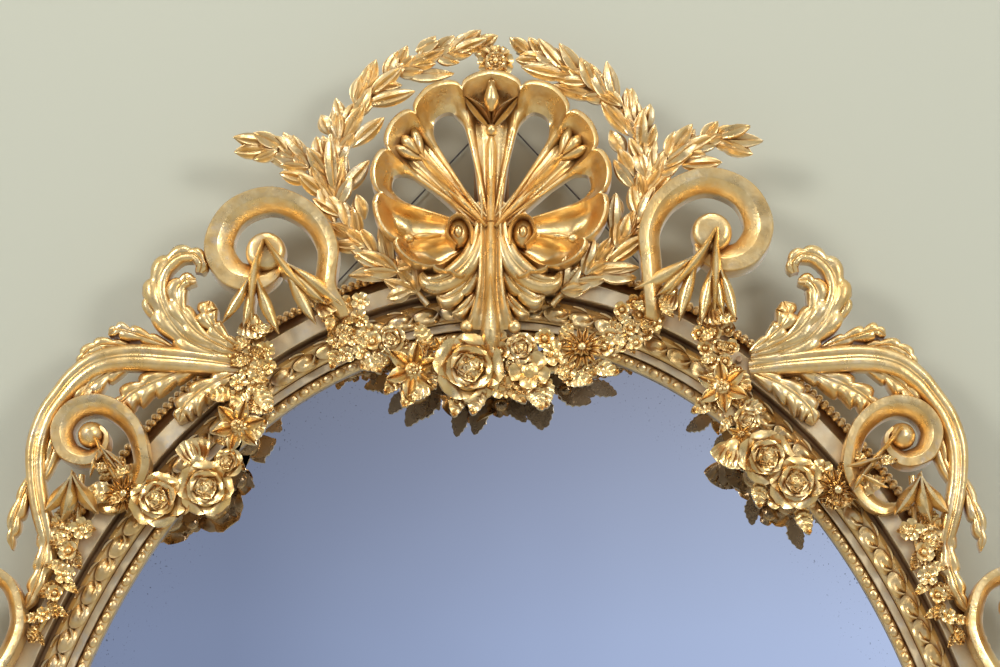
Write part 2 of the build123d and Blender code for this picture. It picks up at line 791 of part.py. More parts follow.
knee = collar_height / 2
arm_route = [
    (0, knee),
    (arm_length * 0.18, knee),
    (arm_length * 0.44, -arm_dip),
    (arm_length * 0.72, -arm_dip),
    (arm_length, -arm_dip * 0.2),
    (arm_length, arm_lift),
]
arm_bend = arm_length * 0.14
arm_path = arm_plane * FilletPolyline(*arm_route, radius=arm_bend)
arm_section = Plane(origin=arm_path @ 0, z_dir=arm_path % 0) * Circle(arm_tube_radius)
arm_left = sweep(arm_section, path=arm_path)
curl_line = [
    (arm_length * 0.36, -arm_dip * 0.55), (arm_length * 0.39, -arm_dip * 1.35),
    (arm_length * 0.5, -arm_dip * 1.85), (arm_length * 0.62, -arm_dip * 1.75),
    (arm_length * 0.66, -arm_dip * 1.4), (arm_length * 0.6, -arm_dip * 1.2),
]
curl_face = arm_plane * ribbon(curl_line, [8, 9, 9, 8, 7, 5])
arm_left += extrude(curl_face, amount=curl_thick / 2, both=True)
arm_left += upright(barrel_radius, 0, collar_height)
arm_left += upright(pin_radius, -pin_length, 0)
cup_top = arm_lift + cup_height
arm_left += upright(cup_radius, arm_lift, cup_top, arm_length)
arm_left += upright(
    spigot_radius, cup_top, cup_top + pan_thick + spigot_length - spigot_gap, arm_length
)

pan_top = cup_top + pan_thick
drip_pan_left = upright(pan_radius, cup_top, cup_top + pan_rim_height, arm_length)
drip_pan_left -= upright(pan_radius - pan_rim_thick, pan_top, cup_top + pan_rim_height, arm_length)
drip_pan_left -= upright(spigot_radius + spigot_gap, cup_top, pan_top, arm_length)

nozzle_top = pan_top + nozzle_height
nozzle_left = upright(nozzle_radius, pan_top, nozzle_top, arm_length)
nozzle_left -= upright(
    nozzle_bore_radius, nozzle_top - nozzle_bore_depth, nozzle_top, arm_length
)
nozzle_left -= upright(spigot_radius + spigot_gap, pan_top, pan_top + spigot_length, arm_length)

# Holes in the ring for the dowels and for every screw that is driven into it

plate_screws = plate_screws_left + other_hand(plate_screws_left)
bracket_screws = bracket_screws_left + other_hand(bracket_screws_left)
ring = ring - dowel_holes - board_screws - strap_screws - plate_screws - bracket_screws

save("frame_ring", ring)
save("bead_moulding", bead_moulding)
save("leaf_moulding", leaf_moulding)
save("outer_border", outer_border)
save("mirror_plate", mirror_plate)
save("glazing_blocks", glazing_blocks)
save("backboard", backboard)
save("backboard_screws", board_screws)
save("crest_block", crest_block)
save("crest_strap", crest_strap)
save("crest_strap_screws", strap_screws)
save("hanging_plate_left", hanging_plate_left)
save("hanging_plate_right", other_hand(hanging_plate_left))
save("hanging_plate_screws", plate_screws)
save("hanging_wire", hanging_wire)
save("carving_dowels", Part() + dowels)
save("crest_stem", crest_stem)
save("shell_crest", shell_crest)
save("crest_rosette", crest_rosette)
save("stem_leaf_left", stem_leaf_left)
save("stem_leaf_right", stem_leaf_right)
save("laurel_left", laurel_left)
save("laurel_right", laurel_right)
save("upper_scroll_left", upper_scroll_left)
save("upper_scroll_right", upper_scroll_right)
save("lower_scroll_left", lower_scroll_left)
save("lower_scroll_right", lower_scroll_right)
save("acanthus_left", acanthus_left)
save("acanthus_right", acanthus_right)
save("swag_hanger_left", swag_hanger_left)
save("swag_hanger_right", swag_hanger_right)
save("centre_swag", centre_swag)
save("garland_left", garland_left)
save("garland_right", garland_right)
save("side_drop_left", side_drop_left)
save("side_drop_right", side_drop_right)
save("side_scroll_left", side_scroll_left)
save("side_scroll_right", side_scroll_right)
save("foot_scroll_left", foot_scroll_left)
save("foot_scroll_right", foot_scroll_right)
save("bottom_cartouche", bottom_cartouche)
save("bottom_pendant", bottom_pendant)
save("foot_garland_left", foot_garland_left)
save("foot_garland_right", foot_garland_right)
save("arm_bracket_left", arm_bracket_left)
save("arm_bracket_right", other_hand(arm_bracket_left))
save("arm_bracket_screws", bracket_screws)
save("candle_arm_left", arm_left)
save("candle_arm_right", other_hand(arm_left))
save("drip_pan_left", drip_pan_left)
save("drip_pan_right", other_hand(drip_pan_left))
save("candle_nozzle_left", nozzle_left)
save("candle_nozzle_right", other_hand(nozzle_left))
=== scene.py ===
from math import atan2, cos, degrees, hypot, pi, radians, sin, sqrt

import bpy
import numpy as np
from mathutils import Matrix, Vector


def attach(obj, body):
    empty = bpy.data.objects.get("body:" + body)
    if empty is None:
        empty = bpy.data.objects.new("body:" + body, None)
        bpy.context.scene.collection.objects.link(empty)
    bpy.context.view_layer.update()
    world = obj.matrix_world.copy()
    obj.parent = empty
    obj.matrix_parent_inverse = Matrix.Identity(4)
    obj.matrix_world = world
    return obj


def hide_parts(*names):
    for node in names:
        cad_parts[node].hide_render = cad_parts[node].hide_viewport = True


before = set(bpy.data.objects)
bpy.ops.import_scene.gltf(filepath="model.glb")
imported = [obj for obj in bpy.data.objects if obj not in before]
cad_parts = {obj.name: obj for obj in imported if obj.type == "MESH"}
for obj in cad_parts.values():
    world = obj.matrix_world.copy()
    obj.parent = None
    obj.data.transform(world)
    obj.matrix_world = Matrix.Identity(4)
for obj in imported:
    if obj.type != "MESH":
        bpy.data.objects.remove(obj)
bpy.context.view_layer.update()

# The camera stands three metres from the wall, level with the middle of the oval, and looks up
# at the crest, as the photographer did.
camera_place = Vector((0.040, -3.0, 0.0))
pitch = 0.2270054
yaw = -0.0123964
roll = 0.003739
ahead = Vector((sin(yaw) * cos(pitch), cos(yaw) * cos(pitch), sin(pitch)))
level_right = Vector((cos(yaw), -sin(yaw), 0))
level_up = level_right.cross(ahead)
camera_right = level_right * cos(roll) + level_up * sin(roll)
camera_up = level_up * cos(roll) - level_right * sin(roll)
bpy.ops.object.select_all(action="DESELECT")
bpy.ops.object.camera_add(location=camera_place)
camera = bpy.context.object
camera.matrix_world = Matrix.Translation(camera_place) @ Matrix(
    (camera_right, camera_up, -ahead)
).transposed().to_4x4()
camera.data.sensor_width = 36
camera.data.lens = 106.68
camera.data.clip_end = 50
bpy.context.scene.camera = camera

# Hanging wire: drawn steel wire wound round the two posts behind the frame and pulled tight over
# one hook in the wall behind the shell.
wire_depth = 0.0026
wire_left = [
    (-0.23335, 0.661545), (-0.245294, 0.648014), (-0.251366, 0.653374), (-0.244, 0.66154),
    (-0.00737, 0.92383),
]
wire_points = [(x, -wire_depth, z) for x, z in wire_left]
wire_points.append((0, -wire_depth, 0.932))
wire_points += [(-x, -wire_depth, z) for x, z in reversed(wire_left)]
wire_line = bpy.data.curves.new("hanging_wire_line", "CURVE")
wire_line.dimensions = "3D"
wire_spline = wire_line.splines.new("NURBS")
wire_spline.points.add(len(wire_points) - 1)
for point, place in zip(wire_spline.points, wire_points):
    point.co = (*place, 1)
wire_spline.order_u = 3
wire_spline.use_endpoint_u = True
wire_spline.resolution_u = 12
wire_line.bevel_depth = 0.0009
wire_line.bevel_resolution = 3
wire_line.use_fill_caps = True
wire = bpy.data.objects.new("wire_over_hook", wire_line)
bpy.context.scene.collection.objects.link(wire)


class Look:
    """A material or the world as a tree of nodes, with short ways to add and join them."""

    def __init__(self, owner):
        owner.use_nodes = True
        self.owner = owner
        self.nodes = owner.node_tree.nodes
        self.links = owner.node_tree.links

    def fill(self, node, inputs):
        """Give each named or numbered input a constant, or join it to another node's output."""
        for name, value in inputs.items():
            socket = node.inputs[name]
            if isinstance(value, bpy.types.NodeSocket):
                self.links.new(value, socket)
            else:
                socket.default_value = (*value, 1) if socket.type == "RGBA" else value
        return node

    def add(self, kind, inputs=None, **settings):
        """Add a node of one kind with its settings and inputs."""
        node = self.nodes.new("ShaderNode" + kind)
        for name, setting in settings.items():
            setattr(node, name, setting)
        return self.fill(node, inputs or {})

    def noise(self, place, scale, detail, **more):
        values = {"Vector": place, "Scale": scale, "Detail": detail, **more}
        return self.add("TexNoise", values).outputs["Fac"]

    def ranged(self, value, low, high, first=0, last=1):
        """Turn readings from low to high into values from first to last."""
        values = {"Value": value, "From Min": low, "From Max": high, "To Min": first, "To Max": last}
        return self.add("MapRange", values).outputs["Result"]

    def ramp(self, value, *marks):
        """Colours by a reading, each mark a reading and its colour."""
        ramp = self.add("ValToRGB", {"Fac": value})
        elements = ramp.color_ramp.elements
        for number, (reading, colour) in enumerate(marks):
            mark = elements[number] if number < 2 else elements.new(reading)
            mark.position = reading
            mark.color = (*colour, 1)
        return ramp.outputs["Color"]

    def mixed(self, share, first, second, blend="MIX"):
        values = {0: share, 6: first, 7: second}
        return self.add("Mix", values, data_type="RGBA", blend_type=blend).outputs[2]

    def maths(self, operation, first, second, clamp=False):
        return self.add("Math", {0: first, 1: second}, operation=operation, use_clamp=clamp).outputs[0]

    def bump(self, height, strength, distance, **more):
        values = {"Height": height, "Strength": strength, "Distance": distance, **more}
        return self.add("Bump", values).outputs["Normal"]


def new_look(name):
    """A new material as a look, and its main shader."""
    look = Look(bpy.data.materials.new(name))
    return look, look.nodes["Principled BSDF"]


def plain_metal(name, colour, metallic, roughness, grain):
    """Bare or blackened metal, with a little dirt and unevenness."""
    look, shader = new_look(name)
    dirt = look.noise(look.add("TexCoord").outputs["Object"], grain, 5)
    dirty = tuple(part * 0.6 for part in colour)
    look.fill(shader, {
        "Metallic": metallic,
        "Base Color": look.ramp(dirt, (0.35, dirty), (0.65, colour)),
        "Roughness": look.ranged(dirt, 0, 1, roughness - 0.08, roughness + 0.12),
    })
    return look.owner


drawn_wire = plain_metal("drawn_steel_wire", (0.16, 0.15, 0.14), 1, 0.42, 300)
wire_line.materials.append(drawn_wire)
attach(wire, "frame")
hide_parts("hanging_wire")
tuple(wire_points[0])

# Frame ring: one glued and turned oval of pine, gessoed and water gilded, with a thin lip over the
# glass, a flat band for the carving and a cavetto that falls to the outer edge.
half_width = 475
half_height = 680


def spot(angle, reach):
    """A place on the front view, in mm: an angle round the oval and a reach beyond the glass."""
    turn = radians(angle)
    return ((half_width + reach) * cos(turn), (half_height + reach) * sin(turn))


silver_tone = (0.70, 0.62, 0.51)
# Painted light: an ochre brown for faces turned to the wall, lighter than their own colour, standing in for
# the light the glass throws back onto them.
back_painted_light = (0.68, 0.39, 0.15)
# Painted shade: how far the ambient occlusion looks when it darkens the hollows of the gilding.
hollow_reach = 0.011


def gilding(name, pale, rich, hollow_shade, worn, roughness, relief):
    """Old gold leaf: warm on top, pale and silvery where it is rubbed, with brown painted shade in the
    hollows and painted light on faces turned to the wall.
    """
    look, shader = new_look(name)
    place = look.add("TexCoord")

    def clouds(scale, detail, low, high):
        noise = look.noise(place.outputs["Object"], scale, detail, Roughness=0.6)
        return look.ranged(noise, low, high)

    leaf_tone = look.mixed(clouds(38, 4, 0.35, 0.68), rich, pale)
    rubbed = look.maths("MULTIPLY", clouds(90, 6, 0.5, 0.66), clouds(11, 3, 0.45, 0.6))
    top_tone = look.mixed(look.maths("MULTIPLY", rubbed, worn), leaf_tone, silver_tone)
    # Painted shade: where ambient occlusion finds a hollow, the colour goes to the dark hollow brown and the
    # leaf is less metallic.
    shade = look.add("AmbientOcclusion", {"Distance": hollow_reach}, samples=6)
    depth = look.ranged(shade.outputs["AO"], 0.2, 0.8, 1, 0)
    colour = look.mixed(depth, top_tone, hollow_shade)
    # Painted light: faces whose normal points towards the wall take the lighter ochre brown.
    side = look.add("SeparateXYZ", {"Vector": place.outputs["Normal"]})
    behind = look.ranged(side.outputs["Y"], 0.25, 0.7)
    skin = look.bump(clouds(330, 4, 0.2, 0.8), 0.3 * relief, 0.0007)
    look.fill(shader, {
        "Base Color": look.mixed(behind, colour, back_painted_light),
        "Metallic": look.ranged(depth, 0, 1, 0.94, 0.7),
        "Roughness": look.ranged(clouds(60, 5, 0.3, 0.7), 0, 1, roughness - 0.07, roughness + 0.14),
        "Normal": look.bump(clouds(85, 3, 0.2, 0.8), 0.4 * relief, 0.0014, Normal=skin),
    })
    return look.owner


# A finish is a slot and the material it holds.
band = ("carved_gilt_wood", gilding(
    "band_gilding", (0.88, 0.73, 0.48), (0.78, 0.59, 0.33), (0.36, 0.19, 0.07), 0.8, 0.4, 0.3
))


def finished(name, node, finish, angle=42, body="frame"):
    """Weld the active piece, turn its faces outwards, smooth it and fix it to its body."""
    slot, material = finish
    piece = bpy.context.object
    piece.name = name
    bpy.ops.object.mode_set(mode="EDIT")
    bpy.ops.mesh.select_all(action="SELECT")
    bpy.ops.mesh.remove_doubles(threshold=0.000002)
    bpy.ops.mesh.normals_make_consistent(inside=False)
    bpy.ops.object.mode_set(mode="OBJECT")
    bpy.ops.object.shade_smooth_by_angle(angle=radians(angle))
    piece.data.materials.clear()
    piece.data.materials.append(material)
    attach(piece, body)
    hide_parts(node)


def moulding(section, steps=480):
    """Run a section, given as reach and depth in mm, once round the oval."""
    bpy.ops.object.select_all(action="DESELECT")
    bpy.ops.mesh.primitive_circle_add(vertices=steps, radius=0.001, rotation=(pi / 2, 0, 0))
    bpy.ops.object.transform_apply(location=False, rotation=True, scale=True)
    bpy.ops.object.mode_set(mode="EDIT")
    bpy.ops.mesh.select_all(action="SELECT")
    wide, tall, near = 1, 1, 0
    for number, (reach, depth) in enumerate(section + section[:1]):
        if number:
            bpy.ops.mesh.extrude_edges_move()
        bpy.ops.transform.resize(
            value=((half_width + reach) / wide, 1, (half_height + reach) / tall),
            center_override=(0, 0, 0),
        )
        bpy.ops.transform.translate(value=(0, (near - depth) / 1000, 0))
        wide, tall, near = half_width + reach, half_height + reach, depth
    bpy.ops.object.mode_set(mode="OBJECT")


moulding([
    (9, 6), (9, 16), (0, 16), (0, 19.6), (0.4, 20), (12, 20), (12, 27.3), (12.7, 28), (19.3, 28),
    (20, 27.3), (20, 24), (48, 24), (48, 47), (49, 48), (65, 48), (66, 47), (66, 41), (66.6, 39.4),
    (69, 35), (72, 30.8), (75.6, 27.2), (79.6, 24.9), (80, 24), (80, 6),
])
finished("gilded_oval_ring", "frame_ring", band, 30)

# Pearl beads: a row of small round beads on a low strip, cast in composition and gilded, glued over
# the lip that holds the glass.
bead_pitch = 14
bead_radius = 5.2
moulded = ("moulded_gilt_borders", gilding(
    "moulding_gilding", (0.90, 0.68, 0.35), (0.80, 0.52, 0.19), (0.34, 0.15, 0.04), 0.5, 0.31, 0.7
))


def shape_of(piece):
    """Take the mesh of a modelled piece as points and faces, and clear the piece away."""
    points = np.array([vertex.co for vertex in piece.data.vertices])
    faces = [tuple(face.vertices) for face in piece.data.polygons]
    bpy.data.objects.remove(piece, do_unlink=True)
    return points, faces


def ball(around, rings):
    """A ball of radius 1 whose poles point left and right."""
    bpy.ops.object.select_all(action="DESELECT")
    bpy.ops.mesh.primitive_uv_sphere_add(
        segments=around, ring_count=rings, radius=1, rotation=(0, pi / 2, 0)
    )
    bpy.ops.object.transform_apply(location=False, rotation=True, scale=True)
    return shape_of(bpy.context.object)


def axes(heading, lean=0, twist=0):
    """Directions along, across and in front of a form that heads one way on the front view."""
    turn, tip, spin = radians(heading), radians(lean), radians(twist)
    flat = np.array((cos(turn), 0, sin(turn)))
    across = np.array((-sin(turn), 0, cos(turn)))
    out = np.array((0, -1.0, 0))
    along = flat * cos(tip) + out * sin(tip)
    front = out * cos(tip) - flat * sin(tip)
    return along, across * cos(spin) + front * sin(spin), front * cos(spin) - across * sin(spin)


def laid(form, place, depth, heading, size, lean=0, twist=0, bend=0, curl=0):
    """Copy a form to a place in mm. Size is its length, width and height; bend and curl sweep it."""
    points, faces = form
    run = points[:, 0]
    length, width, height = size
    along, across, front = axes(heading, lean, twist)
    aside = points[:, 1] * width + bend * length * run * run
    out = points[:, 2] * height + curl * length * run * run
    moved = np.outer(run * length, along) + np.outer(aside, across) + np.outer(out, front)
    return moved + np.array((place[0], -depth, place[1])), faces


def joined(parts):
    """Many parts as one set of points and faces."""
    points = np.concatenate([part[0] for part in parts])
    faces = []
    start = 0
    for part_points, part_faces in parts:
        faces += [tuple(corner + start for corner in face) for face in part_faces]
        start += len(part_points)
    return points, faces


def built(parts, name, node, finish, angle=42, body="frame"):
    """Make one piece of many parts, from mm to metres, and finish it."""
    points, faces = joined(parts)
    mesh = bpy.data.meshes.new("carving")
    mesh.from_pydata((points / 1000).tolist(), [], faces)
    piece = bpy.data.objects.new("carving", mesh)
    bpy.context.scene.collection.objects.link(piece)
    bpy.ops.object.select_all(action="DESELECT")
    piece.select_set(True)
    bpy.context.view_layer.objects.active = piece
    finished(name, node, finish, angle, body)


def bed(section, steps):
    """The plain moulding under an applied border, as a part in mm."""
    moulding(section, steps)
    points, faces = shape_of(bpy.context.object)
    return points * 1000, faces


def round_oval(reach, pitch, steps=3600):
    """Even places round the oval at one reach, with the heading of the moulding at each."""
    wide, tall = half_width + reach, half_height + reach
    turns = [2 * pi * step / steps for step in range(steps + 1)]
    run = [0]
    for first, second in zip(turns, turns[1:]):
        run.append(run[-1] + hypot(wide * (cos(second) - cos(first)), tall * (sin(second) - sin(first))))
    count = round(run[-1] / pitch)
    for turn in np.interp(np.arange(count) * run[-1] / count, run, turns):
        heading = degrees(atan2(tall * cos(turn), -wide * sin(turn)))
        yield (wide * cos(turn), tall * sin(turn)), heading


pearl = ball(10, 7)
pearl_size = (bead_radius * 1.18, bead_radius, bead_radius * 0.76)
bead_parts = [bed([(0.3, 20), (0.3, 22), (1.5, 23), (10.5, 23), (11.7, 22), (11.7, 20)], 360)]
for place, heading in round_oval(6, bead_pitch):
    bead_parts.append(laid(pearl, place, 22, heading, pearl_size))
built(bead_parts, "pearl_beads", "bead_moulding", moulded, 60)

# Leaf moulding: a band of lapped leaves that roll over one another, cast in composition and glued
# into the hollow between the fillet and the flat band.
leaf_pitch = 27


def leaf_form(outline, front, back, around=16, rings=12):
    """A closed leaf of unit length from a ball: its rings are spread along it and flattened."""
    points, faces = ball(around, rings)
    shaped = []
    for x, y, z in points:
        run = (1 + x) / 2
        size = sqrt(max(1 - x * x, 0))
        share = y / size if size > 0.001 else 0
        height = front(run, share) if z > -0.0001 else back(run, share)
        shaped.append((run, share * outline(run) / 2, height))
    return np.array(shaped), faces


def table(*values):
    """A smooth reading of evenly spaced values between 0 and 1."""
    marks = np.linspace(0, 1, len(values))

    def read(share):
        return float(np.interp(share, marks, values))

    return read


lapped_leaf = leaf_form(
    table(0.5, 0.9, 1.0, 1.0, 0.95, 0.8, 0.25),
    lambda run, share: 0.25 + 0.75 * sin(pi * min(run * 1.15, 1)) * (1 - 0.55 * share * share)
    - 0.4 * (1 - abs(share)) ** 3 * (run < 0.75),
    lambda run, share: 0,
)
curl_lip = leaf_form(
    table(0.3, 0.9, 1, 1, 0.9, 0.3), lambda run, share: 1 - share * share, lambda run, share: 0, 10, 8
)
leaf_parts = [bed([
    (20.3, 24), (20.3, 30), (23, 32.5), (28, 32.5), (34, 34), (38, 37), (42.5, 35), (42.7, 24),
], 480)]
for place, heading in round_oval(31, leaf_pitch):
    leaf_parts.append(laid(lapped_leaf, place, 32, heading + 24, (25, 17, 8), lean=8, bend=-0.3))
    leaf_parts.append(laid(curl_lip, place, 35, heading + 62, (14, 6, 5.4), bend=-0.5))
    along, across = axes(heading)[:2]
    behind = 9 * along - 7 * across
    tuck = (place[0] + behind[0], place[1] + behind[2])
    leaf_parts.append(laid(curl_lip, tuck, 33, heading - 30, (15, 7, 6), bend=0.4))
built(leaf_parts, "lapped_leaf_band", "leaf_moulding", moulded, 50)

# Berry border: two rows of small round berries, cast in composition on a low strip and glued round
# the outer edge of the frame.
berry_pitch = 8.2
berry = ball(7, 5)
berry_parts = [bed([(80.2, 16), (80.2, 30), (82, 31), (85, 29.5), (87.6, 25), (87.8, 16)], 300)]
for row, (reach, depth) in enumerate(((81.6, 32.2), (85.6, 29.6))):
    for place, heading in round_oval(reach, berry_pitch):
        turn = radians(heading)
        half_step = row * berry_pitch / 2
        shifted = (place[0] + half_step * cos(turn), place[1] + half_step * sin(turn))
        berry_parts.append(laid(berry, shifted, depth, heading, (3.7, 3.7, 4)))
built(berry_parts, "berry_border", "outer_border", moulded, 60)

# Crest stem: a fluted foot carved from one block, dowelled to the flat band, that runs up into the
# shell and ends below in a drop, with a scroll toe each side.
crest_middle = -6
top = half_height
carved = ("carved_gilt_wood", gilding(
    "carved_gilding", (0.90, 0.69, 0.35), (0.80, 0.52, 0.19), (0.40, 0.185, 0.042), 0.5, 0.29, 0.7
))


def smooth_line(points, steps):
    """A smooth line through points, each with any number of values, at even steps."""
    marks = [np.array(point, float) for point in points]
    marks = [2 * marks[0] - marks[1]] + marks + [2 * marks[-1] - marks[-2]]
    line = []
    for i in range(1, len(marks) - 2):
        before, first, second, after = marks[i - 1:i + 3]
        for step in range(steps):
            t = step / steps
            line.append(
                first + 0.5 * t * (second - before)
                + t * t * (before - 2.5 * first + 2 * second - 0.5 * after)
                + t ** 3 * (1.5 * first - 1.5 * second + 0.5 * after - 0.5 * before)
            )
    line.append(marks[-2])
    return line


def strip(points, section, back=48, steps=7):
    """A carved strip. Points are x, z, width and front depth in mm; the section is side and height."""
    line = smooth_line(points, steps)
    solid = []
    for i, (x, z, width, front) in enumerate(line):
        run = line[min(i + 1, len(line) - 1)][:2] - line[max(i - 1, 0)][:2]
        run = run / np.linalg.norm(run)
        for side, height in section:
            aside = side * width / 2
            solid.append((x - run[1] * aside, -(back + height * (front - back)), z + run[0] * aside))
    around = len(section)
    faces = []
    for i in range(len(line) - 1):
        for j in range(around):
            k = (j + 1) % around
            faces.append((i * around + j, i * around + k, (i + 1) * around + k, (i + 1) * around + j))
    last = (len(line) - 1) * around
    faces.append(tuple(range(around)))
    faces.append(tuple(last + j for j in reversed(range(around))))
    return np.array(solid), faces


def mirrored(section):
    """A strip's section with its sides changed over."""
    return [(-across, height) for across, height in section]


round_strip = [(cos(pi * step / 8), 0.35 + 0.65 * sin(pi * step / 8)) for step in range(9)]
round_strip += [(-1, 0), (1, 0)]
half_flutes = [
    (1, 0), (1, 0.55), (0.95, 0.74), (0.84, 0.85), (0.7, 0.86), (0.56, 0.8), (0.44, 0.79), (0.32, 0.85),
    (0.18, 0.96),
]
fluted_strip = half_flutes + [(0, 1)] + mirrored(reversed(half_flutes))
smooth_ball = ball(14, 10)


def up_middle(*rows):
    """Points of a strip on the middle line of the crest, by height over the glass."""
    return [(crest_middle, top + height, width, front) for height, width, front in rows]


stem_parts = [
    strip(up_middle(
        (136, 24, 76), (112, 25, 82), (84, 27, 86), (50, 29, 86), (26, 38, 83), (8, 50, 79), (1, 52, 75),
    ), fluted_strip),
    strip(up_middle((60, 7, 86), (34, 12, 88), (8, 20, 87), (-10, 20, 84), (-22, 12, 79)), round_strip, 54),
]
for side in (-1, 1):
    stem_parts.append(strip([
        (crest_middle + side * away, top + height, width, front) for away, height, width, front in (
            (12, 60, 6, 74), (13, 32, 9, 76), (18, 12, 11, 76), (24, 2, 11, 74),
        )
    ], round_strip))
    stem_parts.append(laid(smooth_ball, (crest_middle + side * 24, top + 4), 70, 0, (7, 7, 6)))
built(stem_parts, "fluted_crest_stem", "crest_stem", carved)

# Stem leaves: acanthus carved in the solid, glued beside the stem, that springs from under the
# shell's volutes and curls out over the flat band.


def acanthus(spine, left_lobes, right_lobes, sweep, back=49, steps=9, columns=8):
    """A carved acanthus leaf. Spine points are x, z, left width, right width and front depth."""
    line = smooth_line(spine, steps)
    last = len(line) - 1
    thickness = 15
    front = []
    for i, (x, z, left, right, depth) in enumerate(line):
        run = line[min(i + 1, last)][:2] - line[max(i - 1, 0)][:2]
        run = run / np.linalg.norm(run)
        share = i / last
        for column in range(-columns, columns + 1):
            away = column / columns
            reach = abs(away)
            width, count = (left, left_lobes) if away > 0 else (right, right_lobes)
            width = max(width, 0.4)
            lobe = abs(sin(pi * count * share)) if count else 1
            aside = away * width * (1 - 0.42 * reach * (1 - lobe ** 0.6))
            ahead_by = sweep * width * reach ** 1.5 * (1 - share ** 4) * (0.5 + 0.5 * lobe)
            puff = 0.2 * width * sin(pi * reach) * (0.35 + 0.65 * lobe)
            cut = 0.22 * width * reach * (1 - lobe ** 0.7)
            vein = 1.3 * np.exp(-(away / 0.13) ** 2)
            ribs = 0.5 * cos(9 * pi * reach) * (1 - reach) * min(1, width / 9)
            edge = 0.26 * width * reach ** 4
            front.append((
                x + run[0] * ahead_by - run[1] * aside,
                -(depth + puff - cut + vein + ribs - edge),
                z + run[1] * ahead_by + run[0] * aside,
            ))
    across = 2 * columns + 1
    total = len(front)
    solid = front + [(x, min(-back, y + thickness), z) for x, y, z in front]
    faces = []
    for i in range(last):
        for j in range(across - 1):
            first = i * across + j
            cell = (first, first + 1, first + across + 1, first + across)
            faces.append(cell)
            faces.append(tuple(corner + total for corner in reversed(cell)))
        for j, turn in ((0, 1), (across - 1, -1)):
            wall = (i * across + j, (i + 1) * across + j)
            wall = wall + (wall[1] + total, wall[0] + total)
            faces.append(wall[::turn])
    for row, turn in ((0, -1), (last, 1)):
        for j in range(across - 1):
            first = row * across + j
            faces.append((first, first + 1, first + 1 + total, first + total)[::turn])
    return np.array(solid), faces


def turned_over(parts, middle=0.0):
    """The same parts for the other side of the frame."""
    flipped = []
    for points, faces in parts:
        other = points.copy()
        other[:, 0] = 2 * middle - other[:, 0]
        flipped.append((other, [tuple(reversed(face)) for face in faces]))
    return flipped


def both_sides(parts, name, node, finish, angle=42, middle=0.0):
    """Build a piece for the left side and its twin for the right."""
    built(parts, name + "left", node + "left", finish, angle)
    built(turned_over(parts, middle), name + "right", node + "right", finish, angle)


def above_glass(*rows):
    """Points whose height is given from the top of the glass."""
    return [(x, top + z, *rest) for x, z, *rest in rows]


both_sides([
    acanthus(above_glass(
        (-17, 118, 4, 6, 72), (-19, 96, 8, 9, 78), (-27, 74, 12, 11, 80), (-42, 58, 13, 11, 78),
        (-58, 51, 12, 8, 76), (-70, 52, 9, 5, 75), (-77, 60, 3, 3, 70),
    ), 0, 0, 0.3, 48),
    acanthus(above_glass(
        (-19, 84, 4, 4, 66), (-24, 60, 9, 7, 72), (-36, 42, 11, 8, 73), (-50, 34, 9, 6, 71),
        (-61, 37, 3, 3, 66),
    ), 2, 0, 0.4, 48),
    acanthus(above_glass(
        (-20, 50, 3, 3, 62), (-25, 34, 7, 6, 68), (-35, 22, 7, 6, 68), (-45, 19, 2, 2, 63),
    ), 2, 0, 0.4, 48),
], "stem_acanthus_", "stem_leaf_", carved, 42, crest_middle)

# Shell: carved from one block, a scalloped dish whose flutes fan out from the stem, pierced four
# times, with husks in its flutes and a volute each side of its foot. It is glued to the crest block.
shell_focus = (crest_middle, top + 103)
lobe_middles = [-48, -21, 8, 29, 48, 67, 90, 113, 132, 151, 172, 201, 228]
lobe_reaches = [62, 92, 121, 141, 155, 167, 171, 167, 155, 141, 121, 92, 62]
lobe_edges = [-62] + [(first + second) / 2 for first, second in zip(lobe_middles, lobe_middles[1:])] + [242]
lobe_columns = 22
shell_rows = 44
pierced = {3: 0.30, 5: 0.20, 7: 0.20, 9: 0.30}
hub_share = 0.06
opening_width = 0.82
opening_top = 0.68
opening_round = 0.16
shallow_lobes = (4, 6, 8)


def away_from(middle, angle, reach):
    """A place in mm at an angle and a distance from a middle."""
    turn = radians(angle)
    return (middle[0] + reach * cos(turn), middle[1] + reach * sin(turn))


def shell_front(share, across, lobe):
    """Depth of the carved face at a share of the lobe's reach and a place across it."""
    dish = np.interp(
        share, [0, 0.2, 0.45, 0.7, 0.84, 0.91, 0.955, 0.985, 1], [76, 72, 66, 61, 66, 78, 89, 88, 82]
    )
    flute = np.interp(share, [0, 0.2, 0.5, 0.75, 0.86, 0.93, 1], [0, 3, 8, 10, 7, 1, 0])
    ridge = np.interp(share, [0, 0.15, 0.4, 0.7, 0.86, 0.93], [0, 3, 7, 9, 5, 0])
    if lobe in pierced or lobe in shallow_lobes:
        flute *= 0.3
    rounded = max(0.0, 1 - ((1 - abs(across)) / 0.42) ** 2)
    return dish - flute * (1 - across * across) + ridge * rounded


def open_cell(across, share, lobe):
    """Whether a place in a lobe lies in one of the round-topped openings."""
    if lobe not in pierced or share < pierced[lobe] or across > opening_width:
        return False
    rise = max(share - opening_top, 0) / opening_round
    return rise == 0 or (across / opening_width) ** 2 + rise ** 2 < 1


